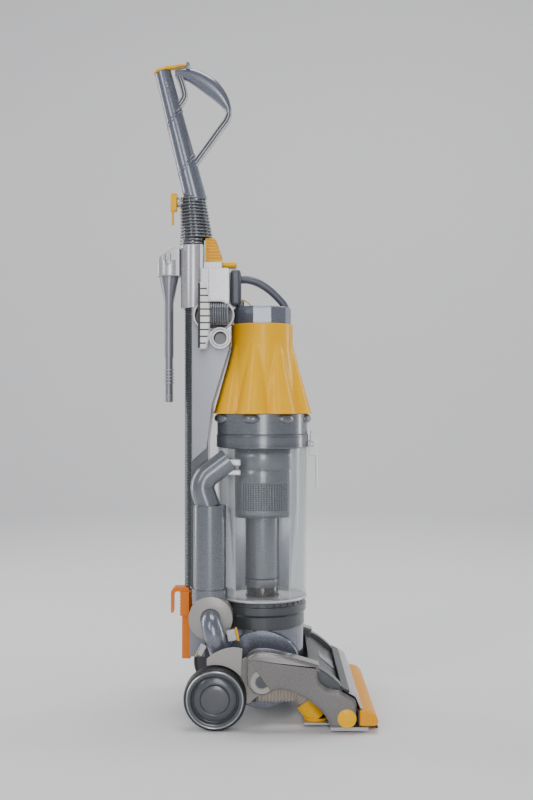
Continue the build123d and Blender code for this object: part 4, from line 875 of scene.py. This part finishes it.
# ---- spine, ducts and housings --------------------------------------------------------------
def add_spine():
    """Spine, ducts and housings up the back, with the catch, button, switch and lower cord hook."""
    rounded("spine_frame", "dark_grey", 0.6)
    # Painted shade: the spine panel takes the darker copy of the silver plastic.
    rounded("spine_panel", ["panel", "panel", "rubber"], 0.9)
    rounded("air_duct", "mid_grey", 0.6)
    housing = rounded("valve_housing", ["fender", "dark_grey", "dark_grey"], 1.2)[0]
    housing.data.materials.append(MATERIALS["mid_grey"])
    for face in housing.data.polygons:
        corners = [housing.data.vertices[v].co / MM for v in face.vertices]
        if all(c.z > 189 and math.hypot(c.x - DUCT_X, c.y - DUCT_Y) < 30.2 for c in corners):
            face.material_index = 1
    rounded("changeover_valve", "dark_grey", 0.5)
    face = [(16.7, -92.2), (34.8, -92.2), (35.7, -91.8), (36, -90.8), (36, -83), (34.4, -83), (34.4, -90.4),
            (16.7, -90.4)]
    lathe("valve_face", face, "fender", "chassis", (VALVE_X, VALVE_Z), "y")
    rounded("top_housing", "silver", 1.3, 3)
    rounded("crevice_holder", "silver", 1.5, 3)
    rounded("wand_catch", "yellow", 0.35)
    for k in range(7):
        level = 768.2 + 5.0 * k
        tip = -68.6 - max(0.0, level - 771) * 0.40
        soft_box(f"catch_rib_{k + 1}", (-94, -13.9, level), (tip, 13.9, level + 2.6), 0.8, "amber",
                 "wand_catch")
    soft_box("release_pill", (-75.0, -15, 752.8), (-43.0, 15, 762.4), 4.6, "yellow", "release_button",
             ["release_button"], 6)
    rounded("power_switch", "black", 0.8)
    rounded("lower_hook", "orange", 0.5)
    add_catch_spring()
    for label, side in SIDES.items():
        seam = [(-90.3, 684), (-89.7, 684), (-89.7, 747), (-90.3, 747)]
        slab(f"housing_seam_{label}", seam, side * 42.15, side * 41, 0.1, "black", "chassis")
        emboss = [(x, side * 23.4, z) for x, z in ((-164.5, 776), (-164.5, 762), (-163, 758.6), (-160, 757.2),
                                                    (-157, 758.6), (-155.5, 762), (-155.5, 776))]
        wire(f"holder_emboss_{label}", smooth_path(emboss, 30), 0.7, "mid_grey", "chassis")


def add_catch_spring():
    """Coil spring under the wand catch, at one fixed length; the piece does not shorten as the catch is
    pressed.
    """
    low, high, turns = 753.8, 774.2, 6
    path = []
    for k in range(24 * turns + 1):
        turn = 2 * math.pi * k / 24
        path.append((-86 + 5 * math.cos(turn), 5 * math.sin(turn), low + (high - low) * k / (24 * turns)))
    coil = wire("catch_spring_coil", path, 0.6, "steel", "chassis", steps=8,
                replaced=["catch_spring"])
    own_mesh(coil)


def add_bulge(name, first, last, side, depth, low, high, material):
    """Softly curved skin on a housing's flat side, between two X values."""
    steps = 24
    loop = []
    for k in range(steps + 1):
        share = k / steps
        out = depth * math.sin(math.pi * share) ** 0.6
        loop.append((first + (last - first) * share, side + math.copysign(out, side)))
    inner = side - math.copysign(1.5, side)
    loop += [(last, inner), (first, inner)]
    slab(name, loop, high, low, 1.4, material, "chassis", plane="xy")


def paint_hollow_shade(found, centre, reach, material):
    """Painted shade: darker material on the faces of a dock's hollows, standing in for the shade that falls
    inside them.
    """
    found.data.materials.append(MATERIALS[material])
    for face in found.data.polygons:
        corners = [found.data.vertices[v].co / MM for v in face.vertices]
        if all(reach(c.x - centre[0], c.z - centre[1]) and c.y > -79.5 for c in corners):
            face.material_index = len(found.data.materials) - 1


def add_dock():
    """Tool dock, and the rounded flanks of the hose column and the crevice cup."""
    dock = rounded("tool_dock", "silver", 0.8, 3)[0]
    # Painted shade: the tool ring's bore and the stair tool's recess get dark material where shade falls.
    paint_hollow_shade(dock, (RING_X, RING_Z), lambda a, b: math.hypot(a, b) < 10.8, "dark_grey")
    paint_hollow_shade(dock, (DOCK_X, DOCK_Z), lambda a, b: math.hypot(max(0.0, abs(a) - 9), b) < 21.8, "dark_grey")
    for label, side in (("right", -27.0), ("left", 27.0)):
        add_bulge(f"column_bulge_{label}", -131, -105, side, 5.0, 684, 790.4, "silver")
    for label, side in (("right", -20.0), ("left", 20.0)):
        add_bulge(f"holder_bulge_{label}", -172, -147, side, 3.4, 739.5, 765, "silver")
    rim = [(x, -72.2, z) for x, z in stadium(64.5, 46.5, (DOCK_X, DOCK_Z))]
    wire("dock_rim", rim, 1.5, "white", "chassis", closed=True)
    ring = [(x, -80, z) for x, z in circle(14.3, (RING_X, RING_Z))]
    wire("dock_ring_lip", ring, 1.3, "silver", "chassis", closed=True)


def add_tools():
    """Crevice tool in its cup and stair tool on the dock."""
    # Painted shade: the crevice tool takes the darker copy of the silver plastic.
    rounded("crevice_tool", "panel", 0.5)
    rings = (("ring", 5, 556, 5.6, 29.4, 16.4, 0.9), ("tip_ring", 4, 525.5, 3.2, 26.6, 13.6, 0.6))
    for label, count, lowest, pitch, length, height, radius in rings:
        for k in range(count):
            ring = [(-160 + z, x, lowest + pitch * k) for x, z in stadium(length, height, (0, 0), 12)]
            wire(f"crevice_{label}_{k + 1}", ring, radius, "silver", "crevice_tool",
                 closed=True)
    body = [(-103, 610), (-90.5, 610), (-86.5, 628), (-84.6, 648), (-84, 664), (-84.8, 682), (-87.2, 700),
            (-91.5, 717), (-103, 717)]
    points = [(x, y, z) for y in (-112, -80.6) for x, z in body]
    made = piece("stair_tool_body", points, rings_to_faces(2, len(body)), "white", "stair_tool",
                 ["stair_tool"])
    add_bevel(made, 2.6, 4)
    # Painted shadow: a black strip down the tool's left edge stands in for the shadow along that side.
    soft_box("stair_tool_shade_strip", (-103.4, -112.5, 611), (-99.4, -81, 716), 1.0, "black", "stair_tool")
    for k in range(9):
        level = 617.5 + 11.0 * k
        reach = -83.7 - 0.0032 * (level - 664) ** 2
        soft_box(f"stair_tool_slit_{k + 1}", (-100, -112.5, level), (reach, -109, level + 2.2), 0.3, "black",
                 "stair_tool")
    soft_box("stair_tool_peg", (-94, -83, 655), (-66, -52.2, 679), 1.5, "dark_grey", "stair_tool")
    path = even_path([(-84.5, -90, 667), (-70, -90, 667), (-54.5, -90, 667)], 0.95)
    tube("stair_tool_neck", path, ribbed(15.6, 18.0), "mid_grey", "stair_tool",
         steps=48, wall=1.2)


# ---- motor, bucket and brackets -------------------------------------------------------------
def add_motor():
    """Motor drum with its cowl, the filter bucket and the axle brackets."""
    rounded("motor_casing", ["blue_grey", "warm_grey", "blue_grey"], 1.5, 3)
    rounded("motor_cowl", "blue_grey", 1.0)
    rounded("filter_bucket", ["dark_grey", "rubber"], 0.4)
    rounded("axle_brackets", "fender", 1.0)
    arc = [(-26 + 4.2 * k, 0, 118 + 13.5 * math.sin(math.pi * (k + 0.5) / 18)) for k in range(17)]
    front = [(x, -math.sqrt(max(1.0, 70.3 ** 2 - x * x)), z) for x, _, z in arc]
    wire("cowl_arc", front, 0.9, "mid_grey", "chassis")
    for node in ("motor_can", "motor_rotor", "axle"):
        keep(node, "steel")
    keep("filters", "foam")


# ---- cleaner head -----------------------------------------------------------------------------
def arm_loop():
    """Side outline of the head's arms."""
    points, faces = solids_of("head_arm_right")[0]
    return side_outline(points, faces, min(p[1] for p in points))


def add_arms():
    """Head arms: hollow casing, inner cover, raised panel, pivot disc, end cap and scoop."""
    loop = arm_loop()
    slot = "warm_grey_plastic"
    for name, side in SIDES.items():
        outer, inner, wall, radius = side * 149.0, side * 118.2, 3.0, 4.5

        def turned(label, profile, material, own_slot, centre):
            flipped = [(r, side * y) for r, y in profile]
            lathe(f"{label}_{name}", flipped, material, "head", centre, "y")

        rounds = [(radius * (1 - math.sin(a)), radius * (1 - math.cos(a)))
                  for a in (math.pi / 2 * i / 6 for i in range(7))]
        layers = [(inset, outer - side * depth) for inset, depth in rounds]
        layers += [(0.0, inner), (wall, inner), (wall, outer - side * 4)]
        points = [(x, y, z) for inset, y in layers for x, z in shrink(loop, inset)]
        piece(f"head_arm_casing_{name}", points, rings_to_faces(len(layers), len(loop)), "warm_grey", "head",
              [f"head_arm_{name}"], 40)
        cover, faces = solids_of(f"head_arm_{name}")[1]
        add_bevel(piece(f"arm_cover_{name}", cover, faces, "dark_grey", "head"), 0.5)
        plate = clip(shrink(loop, 3.6), (-24, 121), (0.816, 0.578))
        slab(f"arm_panel_{name}", plate, side * 151.2, side * 148.6, 1.6, "warm_grey", "head")
        ring = [(10.4, 146), (18.6, 146), (18.6, 149.3), (17.6, 150.2), (11.4, 150.2), (10.4, 149.3)]
        turned("pivot_ring", ring, "fender", slot, (0, PIVOT_Z))
        disc = [(0.01, 146), (10.2, 146), (10.2, 148.4), (9.4, 149.1), (0.01, 149.3)]
        turned("pivot_disc", disc, "dark_grey", slot, (0, PIVOT_Z))
        cap = [(0.01, 146), (15, 146), (15.1, 150.6), (14.6, 151.5), (13.6, 152), (0.01, 152.3)]
        turned("brush_end_cap", cap, "yellow", "yellow_plastic", (BRUSH_X, BRUSH_Z))
        scoop = [(86.5, 103), (95, 99), (104, 93.5), (113, 86.5), (121, 79.5), (128.5, 70.5), (127, 62),
                 (110, 64), (97, 70), (87, 82), (84, 96)]
        slab(f"arm_scoop_{name}", scoop, side * 141, side * 120, 3.0, "dark_grey", "head")
        halo = [(BRUSH_X + 21.5 * math.cos(a), side * 149.1, BRUSH_Z + 21.5 * math.sin(a))
                for a in (math.radians(25 + 6.2 * k) for k in range(26))]
        wire(f"arm_arc_{name}", halo, 0.7, "dark_grey", "head")


def add_head():
    """Cleaner head: arms, hood, deck, bumper, soleplate and what turns inside."""
    add_arms()
    rounded("head_shell", "hood", 1.0, 3)
    apron = [(125.5, 70), (136.2, 64.2), (139, 67), (126.5, 73.5)]
    deck = [(136.6, 64.0), (147.6, 58), (151.6, 48.5), (156, 39), (160, 39), (154.5, 51), (150.6, 60.5),
            (139.4, 67)]
    for label, loop, material in (("head_apron", apron, "hood"), ("head_deck_strip", deck, "silver")):
        points = [(x, y, z) for y in (-146, 146) for x, z in loop]
        strip = piece(label, points, rings_to_faces(2, len(loop)), material, "head",
                      ["head_deck"])
        add_bevel(strip, 0.8, 3)
    add_hood_patch()
    rounded("bumper", "amber", 3.2, 4)
    rounded("soleplate", ["silver", "rubber"], 0.6)
    rounded("hose_socket", "yellow", 0.7)
    for node, material in (("rollers", "dark_grey"), ("brush_bar", "dark_grey"), ("clutch", "dark_grey"),
                           ("brush_bristles", "bristle"), ("drive_belts", "rubber"),
                           ("head_screws", "steel")):
        keep(node, material)


def add_hood_patch():
    """Pale rounded patch let into the top of the hood."""
    spine = smooth_path([(97, 0, 90.2), (106, 0, 83.2), (114.5, 0, 76.4), (122, 0, 70.6)], 24)
    layers = []
    for inset, lift in ((0, -0.5), (0, 0.4), (0.35, 0.8), (1.0, 1.0)):
        for u, y in shrink([(11.5 + a, b) for a, b in rounded_loop(11.5, 27, 7)], inset):
            place = u / 23 * (len(spine) - 1)
            k = min(int(place), len(spine) - 2)
            at = spine[k].lerp(spine[k + 1], place - k)
            layers.append((at.x + lift * 0.62, y + 4, at.z + lift * 0.78))
    loop = len(layers) // 4
    piece("hood_patch", layers, rings_to_faces(4, loop), "mid_grey", "head")


def rounded_loop(half_a, half_b, radius, steps=6):
    """Rectangle with round corners about the origin."""
    loop = []
    for a, b, start in ((1, 1, 0), (-1, 1, 90), (-1, -1, 180), (1, -1, 270)):
        for k in range(steps + 1):
            turn = math.radians(start + 90 * k / steps)
            loop.append((a * (half_a - radius) + radius * math.cos(turn),
                         b * (half_b - radius) + radius * math.sin(turn)))
    return loop


def add_bristle_strip():
    """Fringe of short bristles along the front edge of the head."""
    random.seed(7)
    points, faces = [], []
    for k in range(300):
        y = -117 + 234 * k / 299 + random.uniform(-0.3, 0.3)
        tip = 186 + random.uniform(-1.5, 0.8)
        half = 0.35
        base = len(points)
        root = [(175, y - half, 4.6), (175, y + half, 4.6), (175, y + half, 6.6), (175, y - half, 6.6)]
        end = [(tip, y - half * 0.6, 0.7), (tip, y + half * 0.6, 0.7), (tip, y + half * 0.6, 1.3),
               (tip, y - half * 0.6, 1.3)]
        points += root + end
        faces += [tuple(base + v for v in face) for face in rings_to_faces(2, 4)]
    piece("front_bristles", points, faces, "bristle", "head")


add_camera()
add_studio()
add_wheels()
add_hoses()
add_wand()
add_handle()
add_cover()
add_shroud()
add_bin()
add_carry_handle()
add_spine()
add_dock()
add_tools()
add_motor()
add_head()
add_bristle_strip()
